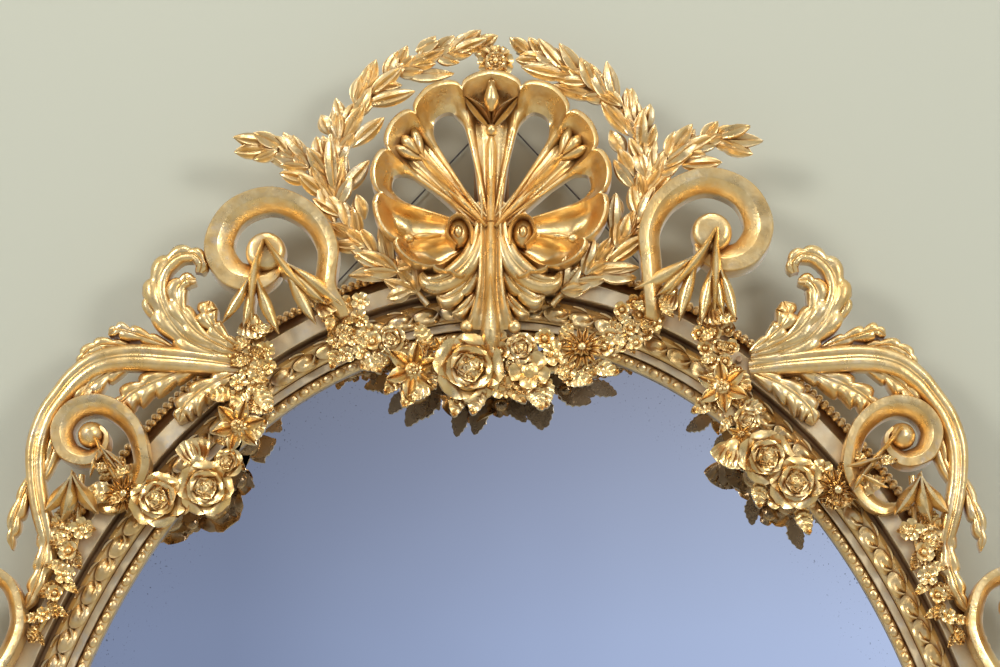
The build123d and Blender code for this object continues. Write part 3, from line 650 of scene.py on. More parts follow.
def shell_relief():
    """The dish as a front and a back skin with walls between them, left open at the piercings."""
    columns = []
    for lobe in range(len(lobe_middles)):
        for step in range(lobe_columns):
            angle = lobe_edges[lobe] + (lobe_edges[lobe + 1] - lobe_edges[lobe]) * step / lobe_columns
            columns.append((angle, 2 * step / lobe_columns - 1, lobe))
    columns.append((lobe_edges[-1], 1, len(lobe_middles) - 1))
    front = []
    for angle, across, lobe in columns:
        reach = np.interp(angle, lobe_middles, lobe_reaches)
        reach *= 0.925 + 0.075 * sqrt(max(1 - across * across, 0))
        for row in range(shell_rows + 1):
            share = hub_share + (1 - hub_share) * row / shell_rows
            x, z = away_from(shell_focus, angle, share * reach)
            front.append((x, -shell_front(share, across, lobe), z))
    front = np.array(front)
    tall = shell_rows + 1
    cells = {}
    for column in range(len(columns) - 1):
        across = abs(2 * (column % lobe_columns + 0.5) / lobe_columns - 1)
        for row in range(shell_rows):
            share = hub_share + (1 - hub_share) * (row + 0.5) / shell_rows
            if not open_cell(across, share, columns[column][2]):
                corner = column * tall + row
                cells[corner] = (corner, corner + tall, corner + tall + 1, corner + 1)
    edges = set()
    for corners in cells.values():
        edges.update(zip(corners, corners[1:] + corners[:1]))
    border = sorted((first, second) for first, second in edges if (second, first) not in edges)
    beside = {}
    for first, second in border:
        beside.setdefault(first, []).append(second)
        beside.setdefault(second, []).append(first)
    for _ in range(6):
        eased = front.copy()
        for corner, others in beside.items():
            if corner % tall != shell_rows:
                eased[corner] = 0.4 * front[corner] + 0.6 * np.mean(front[others], axis=0)
        front = eased
    back = front.copy()
    back[:, 1] = np.maximum(front[:, 1] + 16, -56) * 0.5 - 27
    total = len(front)
    faces = list(cells.values())
    faces += [tuple(corner + total for corner in reversed(corners)) for corners in cells.values()]
    faces += [(second, first, first + total, second + total) for first, second in border]
    return np.concatenate([front, back]), faces


leaf_blade = leaf_form(
    table(0.16, 0.62, 0.95, 1, 0.86, 0.5, 0.04),
    lambda run, share: sin(pi * min(max(run, 0.04), 0.97)) ** 0.5
    * (0.3 + 0.7 * sin(pi * min(abs(share) * 1.25, 1))),
    lambda run, share: -0.15 * sin(pi * run), 16, 10,
)
soft_drop = leaf_form(
    table(0.3, 0.5, 0.75, 0.95, 1, 0.8, 0.3),
    lambda run, share: sqrt(max(1 - share * share, 0)) * min(1, 3 * (1 - run) + 0.2),
    lambda run, share: 0, 12, 10,
)
shell_parts = [shell_relief()]
for heading, wide in ((90, 1), (48, 0.8), (132, 0.8)):
    shell_parts.append(strip([
        (*away_from(shell_focus, heading, reach), width * wide, front) for reach, width, front in (
            (6, 24, 80), (30, 26, 78), (60, 32, 75), (90, 40, 71), (118, 50, 66), (134, 52, 60),
        )
    ], fluted_strip, 50))
for side in (-1, 1):
    eye = (crest_middle + side * 33, top + 102)
    volute = []
    for angle, reach, width, front in (
        (-140, 17, 5, 84), (-190, 13, 5, 86), (-250, 12, 5, 88), (-310, 12, 5, 88), (-370, 12, 5, 87),
        (-440, 12, 4, 86),
    ):
        x, z = away_from((0, 0), angle, reach)
        volute.append((eye[0] + side * x, eye[1] + 1.35 * z, width, front))
    shell_parts.append(strip(volute, round_strip, 62))
    shell_parts += [
        laid(smooth_ball, eye, 70, 90, (16, 12, 9)),
        laid(smooth_ball, eye, 76, 90, (7, 5, 6)),
        laid(smooth_ball, (crest_middle + side * 84, top + 96), 72, 0, (6, 5, 6)),
        laid(soft_drop, (crest_middle + side * 50, top + 99), 72, 90 - side * 93, (30, 7, 7)),
    ]
    heading = 90 + side * 42
    for reach, turn, size in (
        (50, 0, (62, 8, 14)), (104, 24, (38, 12, 10)), (104, -24, (38, 12, 10)), (112, 0, (28, 15, 13)),
    ):
        place = away_from(shell_focus, heading, reach)
        shell_parts.append(laid(soft_drop, place, 64, heading + turn, size, lean=8))
    shell_parts += [
        laid(smooth_ball, away_from(shell_focus, heading, 112), 66, 0, (5, 5, 7)),
        laid(
            leaf_blade, (crest_middle, top + 214), 66, 90 + side * 30, (46, 14, 10), lean=12,
            bend=side * 0.2,
        ),
    ]
shell_parts += [
    strip(up_middle((112, 9, 86), (150, 11, 83), (190, 13, 80), (204, 7, 77)), round_strip, 58),
    laid(smooth_ball, (crest_middle, top + 211), 72, 90, (7, 6, 8)),
    laid(leaf_blade, (crest_middle, top + 218), 66, 90, (32, 15, 9), lean=10),
    laid(soft_drop, (crest_middle, top + 262), 74, 270, (32, 17, 13)),
    laid(smooth_ball, (crest_middle, top + 262), 78, 90, (6, 5, 5)),
]
built(shell_parts, "pierced_shell", "shell_crest", carved, 55)

# Laurel branches: wire stems with carved leaves, pinned to the band beside the stem, that rise
# round the shell and meet at a rosette over it.
laurel_finish = ("modelled_gilt_garlands", gilding(
    "laurel_gilding", (0.90, 0.70, 0.38), (0.80, 0.54, 0.22), (0.42, 0.21, 0.055), 0.5, 0.31, 1.0
))
laurel_leaf = leaf_form(
    table(0.22, 0.58, 0.88, 1, 0.98, 0.82, 0.5, 0.06),
    lambda run, share: sin(pi * min(max(run, 0.04), 0.97)) ** 0.5
    * (0.36 + 0.64 * sin(pi * min(abs(share) * 1.3, 1))) + 0.25 * (abs(share) < 0.1),
    lambda run, share: -0.25 * sin(pi * run), 16, 10,
)


def single_leaves(pairs):
    """Leaves given by their tip and base, each leaning out from the branch a little differently."""
    parts = []
    for number, (tip, base) in enumerate(pairs):
        heading = degrees(atan2(tip[1] - base[1], tip[0] - base[0]))
        length = hypot(tip[0] - base[0], tip[1] - base[1])
        parts.append(laid(
            laurel_leaf, base, 58 + 2 * (number % 2), heading, (length, 17 + number % 3, 7),
            lean=10 - 7 * (number % 3), twist=14 * (number % 5 - 2), bend=0.06 * (number % 3 - 1), curl=0.03,
        ))
    return parts


def clustered(stem, pitch, length):
    """Laurel leaves in threes along a stem, longer low down and shorter near its tip."""
    parts = []
    line = smooth_line(stem, 12)
    walked = 0
    number = 0
    for i in range(2, len(line) - 1):
        step = line[i][:2] - line[i - 1][:2]
        walked += hypot(*step)
        if walked < pitch * (number + 1):
            continue
        heading = degrees(atan2(step[1], step[0]))
        fade = 1 - 0.25 * i / len(line)
        for turn, size in ((34, 1), (-34, 0.96), (6, 0.86)):
            if (number + (turn > 0)) % 3 == 2:
                continue
            wander = 9 * sin(2.4 * number + turn)
            parts.append(laid(
                laurel_leaf, line[i][:2], 57 + 2 * (number % 3), heading + turn + wander,
                (length * size * fade, 16, 7), lean=6 - 5 * (number % 3), twist=13 * (number % 4 - 1.5),
                bend=-0.1 * (turn > 10) + 0.1 * (turn < 0), curl=0.04,
            ))
        number += 1
    return parts


def laurel_branch(side, stem, twig, leaves, foot_leaves):
    """One branch: its stem and twig, the single leaves, leaves in threes, and those at its foot."""
    lines = above_glass(*stem), above_glass(*twig)
    parts = [strip(line, round_strip, 52, 4) for line in lines] + single_leaves(leaves)
    parts += clustered(lines[0], 14, 38) + clustered(lines[1], 13, 34) + single_leaves(foot_leaves)
    built(parts, "laurel_branch_" + side, "laurel_" + side, laurel_finish)


laurel_branch("left", [
    (-70, 30, 7, 59), (-88, 52, 7, 59), (-104, 66, 6, 60), (-137, 92, 6, 61), (-158, 118, 6, 61),
    (-167, 145, 6, 61), (-168, 170, 6, 61), (-163, 205, 6, 61), (-152, 235, 6, 61), (-136, 256, 5, 61),
    (-112, 274, 5, 61), (-86, 290, 5, 60), (-52, 301, 5, 60), (-20, 306, 4, 60),
], [
    (-166, 140, 5, 60), (-190, 170, 5, 61), (-214, 188, 4, 61), (-240, 196, 4, 60),
], [
    ((-274, 884), (-233, 882)), ((-272, 871), (-238, 873)), ((-194, 851), (-243, 873)),
    ((-254, 888), (-222, 877)), ((-223, 891), (-192, 860)), ((-224, 852), (-191, 841)),
    ((-207, 846), (-176, 824)), ((-192, 857), (-174, 824)), ((-186, 889), (-181, 857)),
    ((-177, 889), (-168, 828)), ((-182, 912), (-173, 891)), ((-165, 923), (-165, 882)),
    ((-139, 923), (-160, 882)), ((-117, 908), (-151, 877)), ((-131, 862), (-162, 828)),
    ((-150, 843), (-164, 813)), ((-144, 826), (-137, 799)), ((-124, 971), (-142, 931)),
    ((-100, 964), (-134, 931)), ((-85, 937), (-136, 923)), ((-45, 954), (-98, 954)),
    ((-61, 991), (-85, 980)), ((-51, 985), (-98, 960)), ((-24, 1000), (-53, 975)),
    ((-11, 996), (-51, 977)), ((-130, 940), (-150, 903)), ((-158, 897), (-170, 854)),
    ((-199, 873), (-172, 843)), ((-185, 839), (-167, 796)), ((-156, 873), (-168, 830)),
], [
    ((-121, 797), (-107, 751)), ((-144, 764), (-109, 749)), ((-152, 744), (-99, 743)),
    ((-83, 753), (-103, 747)), ((-156, 777), (-128, 758)), ((-113, 718), (-87, 725)),
])
laurel_branch("right", [
    (56, 30, 7, 59), (74, 50, 7, 59), (98, 66, 6, 60), (122, 88, 6, 61), (140, 112, 6, 61),
    (151, 145, 6, 61), (153, 180, 6, 61), (148, 205, 6, 61), (138, 228, 6, 61), (124, 246, 6, 61),
    (104, 260, 5, 61), (80, 276, 5, 60), (52, 290, 5, 60), (20, 302, 4, 60),
], [
    (150, 150, 5, 60), (172, 180, 5, 61), (200, 198, 4, 61), (236, 208, 4, 60),
], [
    ((40, 992), (70, 960)), ((24, 963), (72, 952)), ((57, 948), (105, 929)), ((83, 971), (102, 937)),
    ((112, 969), (123, 923)), ((137, 941), (139, 910)), ((157, 923), (153, 894)), ((107, 925), (137, 889)),
    ((118, 896), (131, 869)), ((117, 860), (141, 832)), ((121, 826), (125, 799)), ((161, 887), (150, 837)),
    ((200, 902), (178, 869)), ((226, 889), (186, 869)), ((232, 860), (190, 859)), ((262, 898), (228, 887)),
    ((275, 882), (228, 885)), ((263, 867), (228, 882)), ((61, 986), (90, 953)), ((96, 960), (113, 927)),
    ((129, 931), (135, 897)), ((148, 916), (147, 873)), ((172, 873), (159, 835)), ((180, 847), (153, 820)),
    ((159, 835), (145, 792)), ((209, 882), (172, 854)), ((44, 975), (77, 960)), ((123, 873), (141, 845)),
], [
    ((121, 827), (120, 785)), ((100, 781), (87, 745)), ((137, 789), (105, 749)), ((154, 785), (113, 751)),
    ((146, 749), (96, 745)), ((143, 735), (103, 740)), ((133, 805), (126, 771)), ((65, 723), (91, 727)),
])

# Rosette: a small open flower, modelled and gilded, pinned where the two laurel branches meet over
# the shell.
modelled = ("modelled_gilt_garlands", gilding(
    "garland_gilding", (0.94, 0.73, 0.37), (0.85, 0.56, 0.20), (0.46, 0.22, 0.045), 0.25, 0.25, 0.6
))


def petal_form(outline, front):
    """A thin closed petal that follows one curved front all over."""
    return leaf_form(
        outline, front, lambda run, share: front(run, share) - 0.22 * sqrt(max(1 - share * share, 0)), 14, 10
    )


def bloom(parts):
    """Gather laid petals into one flower, as a form that can be laid again at any size."""
    points, faces = joined(parts)
    return np.column_stack((points[:, 0], points[:, 2], -points[:, 1])), faces


def petals(form, count, start, size, lean, first=0, rise=0.0):
    """Petals spread evenly round a middle."""
    parts = []
    for number in range(count):
        heading = first + 360 * number / count
        tilt = lean + 5 * (number % 2) - 3 * (number % 3)
        parts.append(laid(form, away_from((0, 0), heading, start), rise, heading, size, lean=tilt))
    return parts


def middle_ball(rise, size):
    """The boss in the middle of a flower."""
    return [laid(smooth_ball, (0, 0), rise, 0, size)]


round_petal = petal_form(
    table(0.35, 0.7, 0.92, 1, 1, 0.96, 0.7),
    lambda run, share: 0.75 * share * share * sin(pi * min(run, 0.9)) - 0.5 * max(run - 0.7, 0),
)
rosette_form = bloom(
    petals(round_petal, 9, 0.2, (0.8, 0.62, 0.3), 8)
    + petals(round_petal, 6, 0.1, (0.5, 0.5, 0.3), 34, 20, 0.16)
    + middle_ball(0.34, (0.2, 0.2, 0.2))
    + petals(smooth_ball, 7, 0.26, (0.07, 0.07, 0.08), 0, 0, 0.4)
)
rosette_place = (-2, top + 288)
built([
    laid(rosette_form, rosette_place, 61, 12, (19, 19, 20)),
    laid(smooth_ball, rosette_place, 61, 0, (13, 13, 8)),
], "crest_flower", "crest_rosette", modelled)

# Upper scrolls: broad bevelled bands, carved in pine and gilded, dowelled to the flat band, that
# stand up from it, turn once and end in a round eye.
faceted_strip = [
    (1, 0), (1, 0.9), (0.96, 0.97), (0.9, 1), (0.1, 1), (0.04, 0.99), (-0.9, 0.62), (-0.97, 0.56),
    (-1, 0.5), (-1, 0),
]
turned_facets = mirrored(faceted_strip)


def curl(eye, turns):
    """Points of a scroll about its eye, given as angle, distance, width and front depth."""
    return [(*away_from(eye, angle, reach), width, front) for angle, reach, width, front in turns]


button_points, button_faces = ball(32, 20)
button_height = button_points[:, 2].copy()
button_points[:, 2] = np.sign(button_height) * (1 - (1 - np.abs(button_height)) ** 3)
upper_turns = [
    (-30, 71, 22, 80), (5, 63, 23, 80), (42, 58, 24, 80), (85, 56, 25, 80), (128, 53, 27, 80),
    (170, 49, 30, 80), (208, 41, 32, 80), (245, 30, 30, 79), (282, 22, 22, 76), (325, 16, 12, 72),
]
for side, turn, lift in (("left", 0, 0), ("right", 2, 11)):
    eye = spot(112.4 - turn, 143.6 + lift)
    line = [(*spot(107.9, 38), 18, 52), (*spot(107.7, 54), 20, 75)] + curl(eye, upper_turns)
    scroll_parts = [
        strip(line, turned_facets), laid((button_points, button_faces), eye, 64, 0, (21, 21, 18)),
    ]
    if side == "right":
        scroll_parts = turned_over(scroll_parts)
    built(scroll_parts, "upper_scroll_band_" + side, "upper_scroll_" + side, carved, 28)

# Lower scrolls: the same bevelled band, smaller, that starts beside the garland, crosses the flat
# band and winds into a boss.
lower_eye = spot(133.9, 114)
lower_turns = [
    (-25, 57, 18, 79), (5, 44, 19, 79), (40, 35, 20, 79), (80, 31, 20, 79), (125, 30, 21, 79),
    (170, 30, 22, 79), (215, 28, 22, 79), (262, 24, 19, 79), (305, 18, 14, 78), (350, 14, 10, 76),
    (400, 10, 7, 74),
]
lower_foot = [
    (-405, 505, 6, 55), (-400, 502, 10, 59), (-390, 500, 14, 62), (-378, 505, 16, 65), (-366, 518, 17, 69),
    (-358, 533, 18, 76),
]
both_sides([
    strip(lower_foot + curl(lower_eye, lower_turns), turned_facets),
    laid(smooth_ball, lower_eye, 64, 0, (14, 14, 18)),
], "lower_scroll_band_", "lower_scroll_", carved, 28)

# Acanthus sprays: leaves carved in one piece that root on the flat band, roll up beside the upper
# scroll and run down outside the lower one. They are dowelled to the band.
spray = [
    acanthus(above_glass(
        (-258, -26, 8, 6, 62), (-286, -22, 13, 8, 66), (-314, -10, 15, 10, 69), (-334, 12, 16, 11, 71),
        (-345, 38, 15, 11, 72), (-342, 60, 13, 10, 73), (-328, 76, 11, 9, 74), (-311, 79, 9, 8, 76),
        (-301, 70, 7, 7, 76), (-303, 60, 5, 5, 72),
    ), 8, 0, 0.7),
    acanthus(above_glass(
        (-262, -22, 6, 6, 64), (-284, -14, 10, 9, 68), (-306, 0, 13, 12, 71), (-321, 20, 15, 13, 73),
        (-326, 38, 13, 12, 73), (-318, 51, 9, 8, 75), (-307, 53, 4, 5, 70),
    ), 5, 4, 0.6),
    acanthus(above_glass(
        (-258, -20, 5, 5, 64), (-274, -9, 8, 8, 68), (-288, 4, 12, 12, 71), (-295, 18, 13, 13, 72),
        (-292, 31, 6, 6, 68),
    ), 4, 4, 0.5),
    acanthus(above_glass(
        (-256, -36, 9, 8, 60), (-290, -32, 12, 11, 66), (-330, -29, 14, 13, 70), (-372, -27, 14, 13, 72),
        (-404, -33, 13, 12, 73), (-426, -48, 12, 11, 72), (-441, -66, 11, 10, 71), (-455, -88, 11, 10, 71),
        (-464, -118, 11, 10, 71), (-464, -150, 10, 9, 70), (-459, -180, 10, 9, 69), (-452, -208, 8, 8, 66),
        (-449, -226, 3, 3, 62),
    ), 0, 0, 0.2),
    acanthus(above_glass(
        (-330, -16, 5, 5, 62), (-352, -8, 8, 8, 67), (-372, -2, 9, 9, 69), (-386, 1, 7, 7, 70),
        (-395, -4, 2, 2, 66),
    ), 3, 4, 0.7),
    acanthus(above_glass(
        (-366, -20, 5, 5, 62), (-388, -14, 8, 8, 67), (-406, -16, 9, 8, 70), (-419, -26, 6, 6, 71),
        (-425, -38, 2, 2, 66),
    ), 3, 4, 0.7),
    acanthus(above_glass(
        (-322, -4, 4, 4, 62), (-340, 8, 8, 8, 66), (-352, 24, 8, 8, 68), (-357, 38, 5, 5, 68),
        (-357, 48, 1, 1, 64),
    ), 3, 3, 0.7),
    acanthus(above_glass(
        (-302, -36, 5, 5, 60), (-330, -46, 14, 12, 65), (-356, -57, 17, 14, 67), (-375, -70, 13, 11, 68),
        (-385, -83, 4, 4, 64),
    ), 5, 4, 0.7),
    acanthus(above_glass(
        (-262, -42, 6, 6, 60), (-284, -52, 14, 12, 65), (-304, -66, 17, 13, 67), (-317, -81, 11, 10, 67),
        (-321, -94, 3, 3, 63),
    ), 5, 4, 0.7),
    acanthus(above_glass(
        (-372, -34, 5, 5, 62), (-394, -44, 12, 10, 66), (-412, -58, 14, 11, 68), (-422, -73, 9, 8, 68),
        (-424, -86, 3, 3, 63),
    ), 4, 4, 0.7),
    acanthus(above_glass(
        (-448, -72, 4, 4, 62), (-443, -94, 7, 7, 66), (-446, -118, 8, 8, 68), (-452, -140, 6, 6, 67),
        (-458, -156, 2, 2, 64),
    ), 0, 3, 0.5),
    acanthus(above_glass(
        (-464, -140, 5, 5, 62), (-474, -166, 8, 8, 66), (-482, -190, 9, 8, 66), (-486, -210, 5, 5, 65),
        (-485, -224, 1, 1, 62),
    ), 4, 3, 0.6),
    acanthus(above_glass(
        (-458, -170, 5, 5, 60), (-452, -200, 10, 10, 64), (-452, -232, 12, 11, 64), (-460, -262, 9, 9, 63),
        (-470, -284, 2, 2, 60),
    ), 5, 5, 0.7),
]
both_sides(spray, "acanthus_spray_", "acanthus_", carved, 40)

# Swag hangers: flowers, buds and leaves modelled by hand, gilded and wired on stems that hang from
# the eyes of the upper scrolls.
rose_petal = petal_form(
    table(0.55, 0.88, 1, 1, 1, 0.9, 0.55),
    lambda run, share: 0.7 * share * share * sin(pi * min(run, 0.85)) + 0.5 * min(run / 0.7, 1)
    - 5 * max(run - 0.72, 0) ** 2,
)
rose_form = bloom(
    petals(rose_petal, 5, 0.12, (0.84, 1.1, 0.46), 12, 10, 0.02)
    + petals(rose_petal, 5, 0.08, (0.68, 0.96, 0.46), 34, 46, 0.1)
    + petals(rose_petal, 4, 0.04, (0.52, 0.8, 0.4), 52, 20, 0.2)
    + petals(rose_petal, 3, 0.02, (0.42, 0.62, 0.34), 66, 60, 0.3)
    + petals(rose_petal, 3, 0, (0.36, 0.42, 0.26), 78, 0, 0.42)
    + middle_ball(0.2, (0.52, 0.52, 0.3)) + middle_ball(0.56, (0.14, 0.14, 0.22))
)
star_form = bloom(
    petals(leaf_blade, 6, 0.1, (0.9, 0.52, 0.22), 13, 12, 0.1) + middle_ball(0.16, (0.3, 0.3, 0.2))
    + petals(smooth_ball, 5, 0.13, (0.08, 0.08, 0.1), 0, 0, 0.34)
)
five_form = bloom(
    petals(round_petal, 5, 0.12, (0.84, 0.8, 0.36), 20, 18, 0.05) + middle_ball(0.12, (0.28, 0.28, 0.26))
)
cup_form = bloom(
    petals(round_petal, 4, 0.14, (0.8, 0.95, 0.42), 36, 20, 0.05) + middle_ball(0.2, (0.3, 0.3, 0.34))
)
aster_form = bloom(
    petals(leaf_blade, 14, 0.2, (0.8, 0.26, 0.16), 10, 0, 0.12)
    + petals(leaf_blade, 10, 0.1, (0.52, 0.22, 0.16), 36, 15, 0.2) + middle_ball(0.3, (0.24, 0.24, 0.26))
)
veined_leaf = leaf_form(
    table(0.06, 0.5, 0.44, 0.82, 0.7, 1.0, 0.8, 0.95, 0.66, 0.72, 0.42, 0.4, 0.04),
    lambda run, share: 0.3 + 0.6 * abs(share) * (1 - 0.6 * abs(share))
    + 0.16 * sin(run * 34 - 6 * abs(share)),
    lambda run, share: 0, 18, 25,
)
bud_parts = [laid(smooth_ball, (0.3, 0), 0.1, 0, (0.34, 0.3, 0.36))]
for heading, across in ((-26, -0.12), (26, 0.12), (0, 0), (-12, -0.06), (13, 0.06)):
    place = (0.25 if abs(heading) == 26 else 0.3, across)
    size = (0.86, 0.46, 0.34)
    bud_parts.append(laid(round_petal, place, 0.3 - abs(heading) / 180, heading, size, lean=4 + heading / 4))
bud_form = bloom(bud_parts)
long_leaf = leaf_form(
    table(0.3, 0.5, 0.8, 1, 0.95, 0.6, 0.06),
    lambda run, share: (1 - share * share) * (1 - 0.5 * run) + 0.3 * (1 - abs(share)) ** 4,
    lambda run, share: -0.15, 14, 12,
)
leaf_depth = 58
open_flowers = {
    "rose": (rose_form, 0.85), "star": (star_form, 1.1), "five": (five_form, 0.9), "cup": (cup_form, 0.9),
    "aster": (aster_form, 1.0),
}


def leafy_stem(stem, low):
    """The stem of a garland, with small leaves to both sides where it lies on the moulding."""
    eased = [(x, z, width, front if front > 80 else front - 10) for x, z, width, front in stem]
    parts = [strip(eased, round_strip, low, 5)]
    line = smooth_line(stem, 5)
    for number in range(4, len(line) - 1, 2):
        x, z, _, front = line[number]
        if front > 80:
            continue
        step = line[number + 1][:2] - line[number - 1][:2]
        turn = (48 + 14 * (number % 3)) * (1 - 2 * (number // 2 % 2))
        heading = degrees(atan2(step[1], step[0])) + turn
        size = (23, 12, 6) if number % 3 else (18, 9, 6)
        lean = 6 + 5 * (number % 4)
        parts.append(laid(veined_leaf, (x, z), front - 6, heading, size, lean=lean, bend=0.1))
    return parts


def garland(flowers, stem, low):
    """A stem and its flowers, given as kind, x, z, radius and turn, that stand on one another."""
    parts = leafy_stem(stem, low)
    for number, (kind, x, z, radius, turn) in enumerate(flowers):
        if kind in open_flowers:
            form, height = open_flowers[kind]
            crown = leaf_depth + 4 + number % 3
            tilt = 9 * (number % 3 - 1)
            size = (radius * 1.14, radius * 1.14, radius * height)
            parts.append(laid(form, (x, z), crown, turn, size, lean=tilt, twist=-tilt))
            boss = (radius * 0.62, radius * 0.62, radius * 0.4)
            parts.append(laid(smooth_ball, (x, z), crown - 2, 0, boss))
            continue
        form, rise, size, lean, bend = {
            "leaf": (veined_leaf, number % 4, (radius * 1.1, radius * 0.66, 8), 8, 0.1),
            "bud": (bud_form, 8, (radius, radius, 12), 10, 0.05),
            "lily": (long_leaf, 12, (radius, radius * 0.36, 12), 2, 0.14 * (2 * (turn > 270) - 1)),
            "blade": (long_leaf, 20, (radius * 1.06, radius * 0.2, 6), -2, 0.1 * (1 - 2 * (number % 2))),
        }[kind]
        parts.append(laid(form, (x, z), leaf_depth + rise, turn, size, lean=lean, bend=bend))
    return parts


def flowers_at(kind, radius, places, turn=0):
    """Like flowers at many places, each turned a little further."""
    return [(kind, x, z, radius, turn + 47 * number) for number, (x, z) in enumerate(places)]


def set_out(kinds, radii, turns, places):
    """Flowers, buds or leaves at places, each with its own radius and turn."""
    if isinstance(kinds, str):
        kinds = [kinds] * len(places)
    return [(kind, x, z, radius, turn) for kind, radius, turn, (x, z) in zip(kinds, radii, turns, places)]


left_hanger = flowers_at("five", 9, [
    (-154, 709), (-139, 712), (-169, 694), (-156, 686), (-140, 694), (-146, 674), (-130, 680), (-163, 672),
    (-136, 659), (-152, 657), (-122, 664), (-177, 705),
]) + flowers_at("leaf", 26, [(-147, 688), (-159, 667), (-131, 660), (-170, 685)], 200)
left_hanger += set_out(("blade", "blade", "blade", "bud"), (66, 68, 56, 24), (-68, -31, -50, -52), [
    (-215, 746), (-214, 747), (-214, 746), (-181, 719),
])
built(garland(left_hanger, [
    (-236, 771, 6, 90), (-225, 756, 9, 91), (-214, 741, 13, 90), (-199, 725, 8, 86), (-177, 706, 7, 78),
    (-153, 685, 8, 70), (-135, 662, 8, 66),
], 60), "hanging_flowers_left", "swag_hanger_left", modelled, 50)
right_hanger = flowers_at("cup", 9, [
    (140, 711), (154, 716), (128, 703), (146, 697), (162, 703), (136, 684), (152, 680), (123, 688),
    (142, 668), (127, 670), (160, 689), (115, 676), (170, 711),
]) + flowers_at("leaf", 26, [(146, 704), (134, 678), (115, 667), (156, 688)], -30)
right_hanger += set_out(("blade", "blade", "blade", "bud"), (70, 66, 56, 24), (-146, -112, -130, -128), [
    (205, 757), (205, 755), (204, 755), (182, 727),
])
built(garland(right_hanger, [
    (224, 784, 6, 90), (215, 768, 9, 91), (204, 752, 13, 90), (187, 732, 8, 86), (166, 711, 7, 78),
    (145, 690, 8, 70), (123, 669, 8, 66),
], 60), "hanging_flowers_right", "swag_hanger_right", modelled, 50)

# Centre swag: a thick garland of the same flowers and leaves, wired to the two hangers, that lies
# over the pearl and leaf mouldings under the stem.
centre_flowers = set_out("rose", (34, 16, 14), (0, 40, 90), [(-29, 642), (25, 662), (-106, 672)])
centre_flowers += set_out(
    ("star", "five", "aster", "five", "cup", "star", "five", "cup", "cup", "five", "cup", "five", "cup"),
    (27, 20, 20, 13, 12, 12, 13, 11, 11, 12, 11, 11, 11),
    (10, 30, 0, 80, 20, 50, 10, 70, 0, 30, 60, 20, 50),
    [
        (-86, 640), (34, 640), (88, 662), (60, 657), (109, 664), (-55, 663), (4, 624), (49, 673),
        (-126, 669), (-61, 646), (4, 659), (71, 640), (127, 669),
    ],
)
centre_flowers += set_out(
    "leaf",
    (30, 30, 34, 30, 28, 34, 34, 30, 26, 30, 34, 26, 38, 26, 34, 24, 36, 28, 28, 30),
    (150, 110, 215, 250, 300, 335, 20, 330, 60, 190, 285, 80, 232, 275, 248, 292, 268, 318, 225, 95),
    [
        (-90, 667), (-68, 661), (-61, 632), (-35, 622), (12, 630), (63, 639), (101, 659), (95, 649),
        (65, 667), (-108, 651), (34, 632), (117, 667), (-73, 636), (-45, 632), (-14, 628), (18, 637),
        (48, 639), (77, 651), (-94, 638), (4, 659),
    ],
)
built(garland(centre_flowers, [
    (-133, 675, 9, 66), (-106, 659, 10, 68), (-67, 640, 11, 68), (-30, 634, 12, 68), (14, 634, 11, 68),
    (54, 644, 10, 68), (97, 659, 9, 66),
], 50), "centre_flower_swag", "centre_swag", modelled, 50)

# Side garlands: long garlands of the same flowers, one each side, hung from the eyes of the upper
# scrolls and looped across the mouldings to the lower scrolls.
left_flowers = set_out("rose", (27, 27, 15), (10, 60, 20), [(-293, 518), (-339, 505), (-269, 543)])
left_flowers += set_out(("star", "aster", "cup", "five"), (25, 18, 12, 11), (4, 0, 40, 10), [
    (-262, 582), (-374, 512), (-316, 499), (-357, 526),
])
left_flowers += flowers_at("five", 9, [
    (-257, 669), (-244, 673), (-264, 656), (-249, 656), (-235, 661), (-255, 642), (-241, 642), (-261, 627),
    (-247, 627), (-233, 644),
])
left_flowers += set_out(
    "leaf",
    (34, 32, 28, 30, 30, 28, 26, 30, 34, 26), (230, 290, 180, 330, 30, 260, 200, 150, 170, 120),
    [
        (-248, 628), (-242, 626), (-264, 615), (-254, 610), (-257, 568), (-278, 538), (-313, 502),
        (-349, 527), (-379, 512), (-387, 527),
    ],
)
left_flowers += set_out(
    ("blade", "blade", "blade", "bud", "bud", "blade", "blade", "blade"), (58, 66, 54, 24, 28, 32, 30, 26),
    (-114, -74, -94, -95, 105, -60, -35, -110),
    [
        (-248, 739), (-246, 739), (-247, 737), (-247, 697), (-298, 537), (-400, 563), (-397, 557),
        (-400, 553),
    ],
)
built(garland(left_flowers, [
    (-237, 771, 6, 90), (-243, 752, 9, 91), (-247, 733, 13, 90), (-249, 708, 8, 86), (-249, 682, 8, 78),
    (-249, 656, 9, 70), (-252, 625, 10, 66), (-257, 589, 10, 66), (-268, 552, 11, 66), (-290, 517, 12, 66),
    (-330, 503, 12, 68), (-365, 511, 11, 72), (-388, 537, 8, 80), (-402, 566, 6, 86),
], 56), "flower_garland_left", "garland_left", modelled, 50)
right_flowers = set_out("rose", (27, 26), (20, 70), [(270, 550), (301, 523)])
right_flowers += set_out(
    ("star", "aster", "cup", "five", "rose", "star"), (25, 20, 12, 12, 13, 13), (24, 0, 40, 10, 0, 30),
    [
        (230, 621), (342, 518), (282, 509), (327, 536), (253, 589), (247, 574),
    ],
)
right_flowers += flowers_at("cup", 9, [
    (213, 692), (227, 696), (206, 678), (220, 680), (235, 682), (212, 663), (226, 663), (238, 665),
    (218, 649), (232, 649),
])
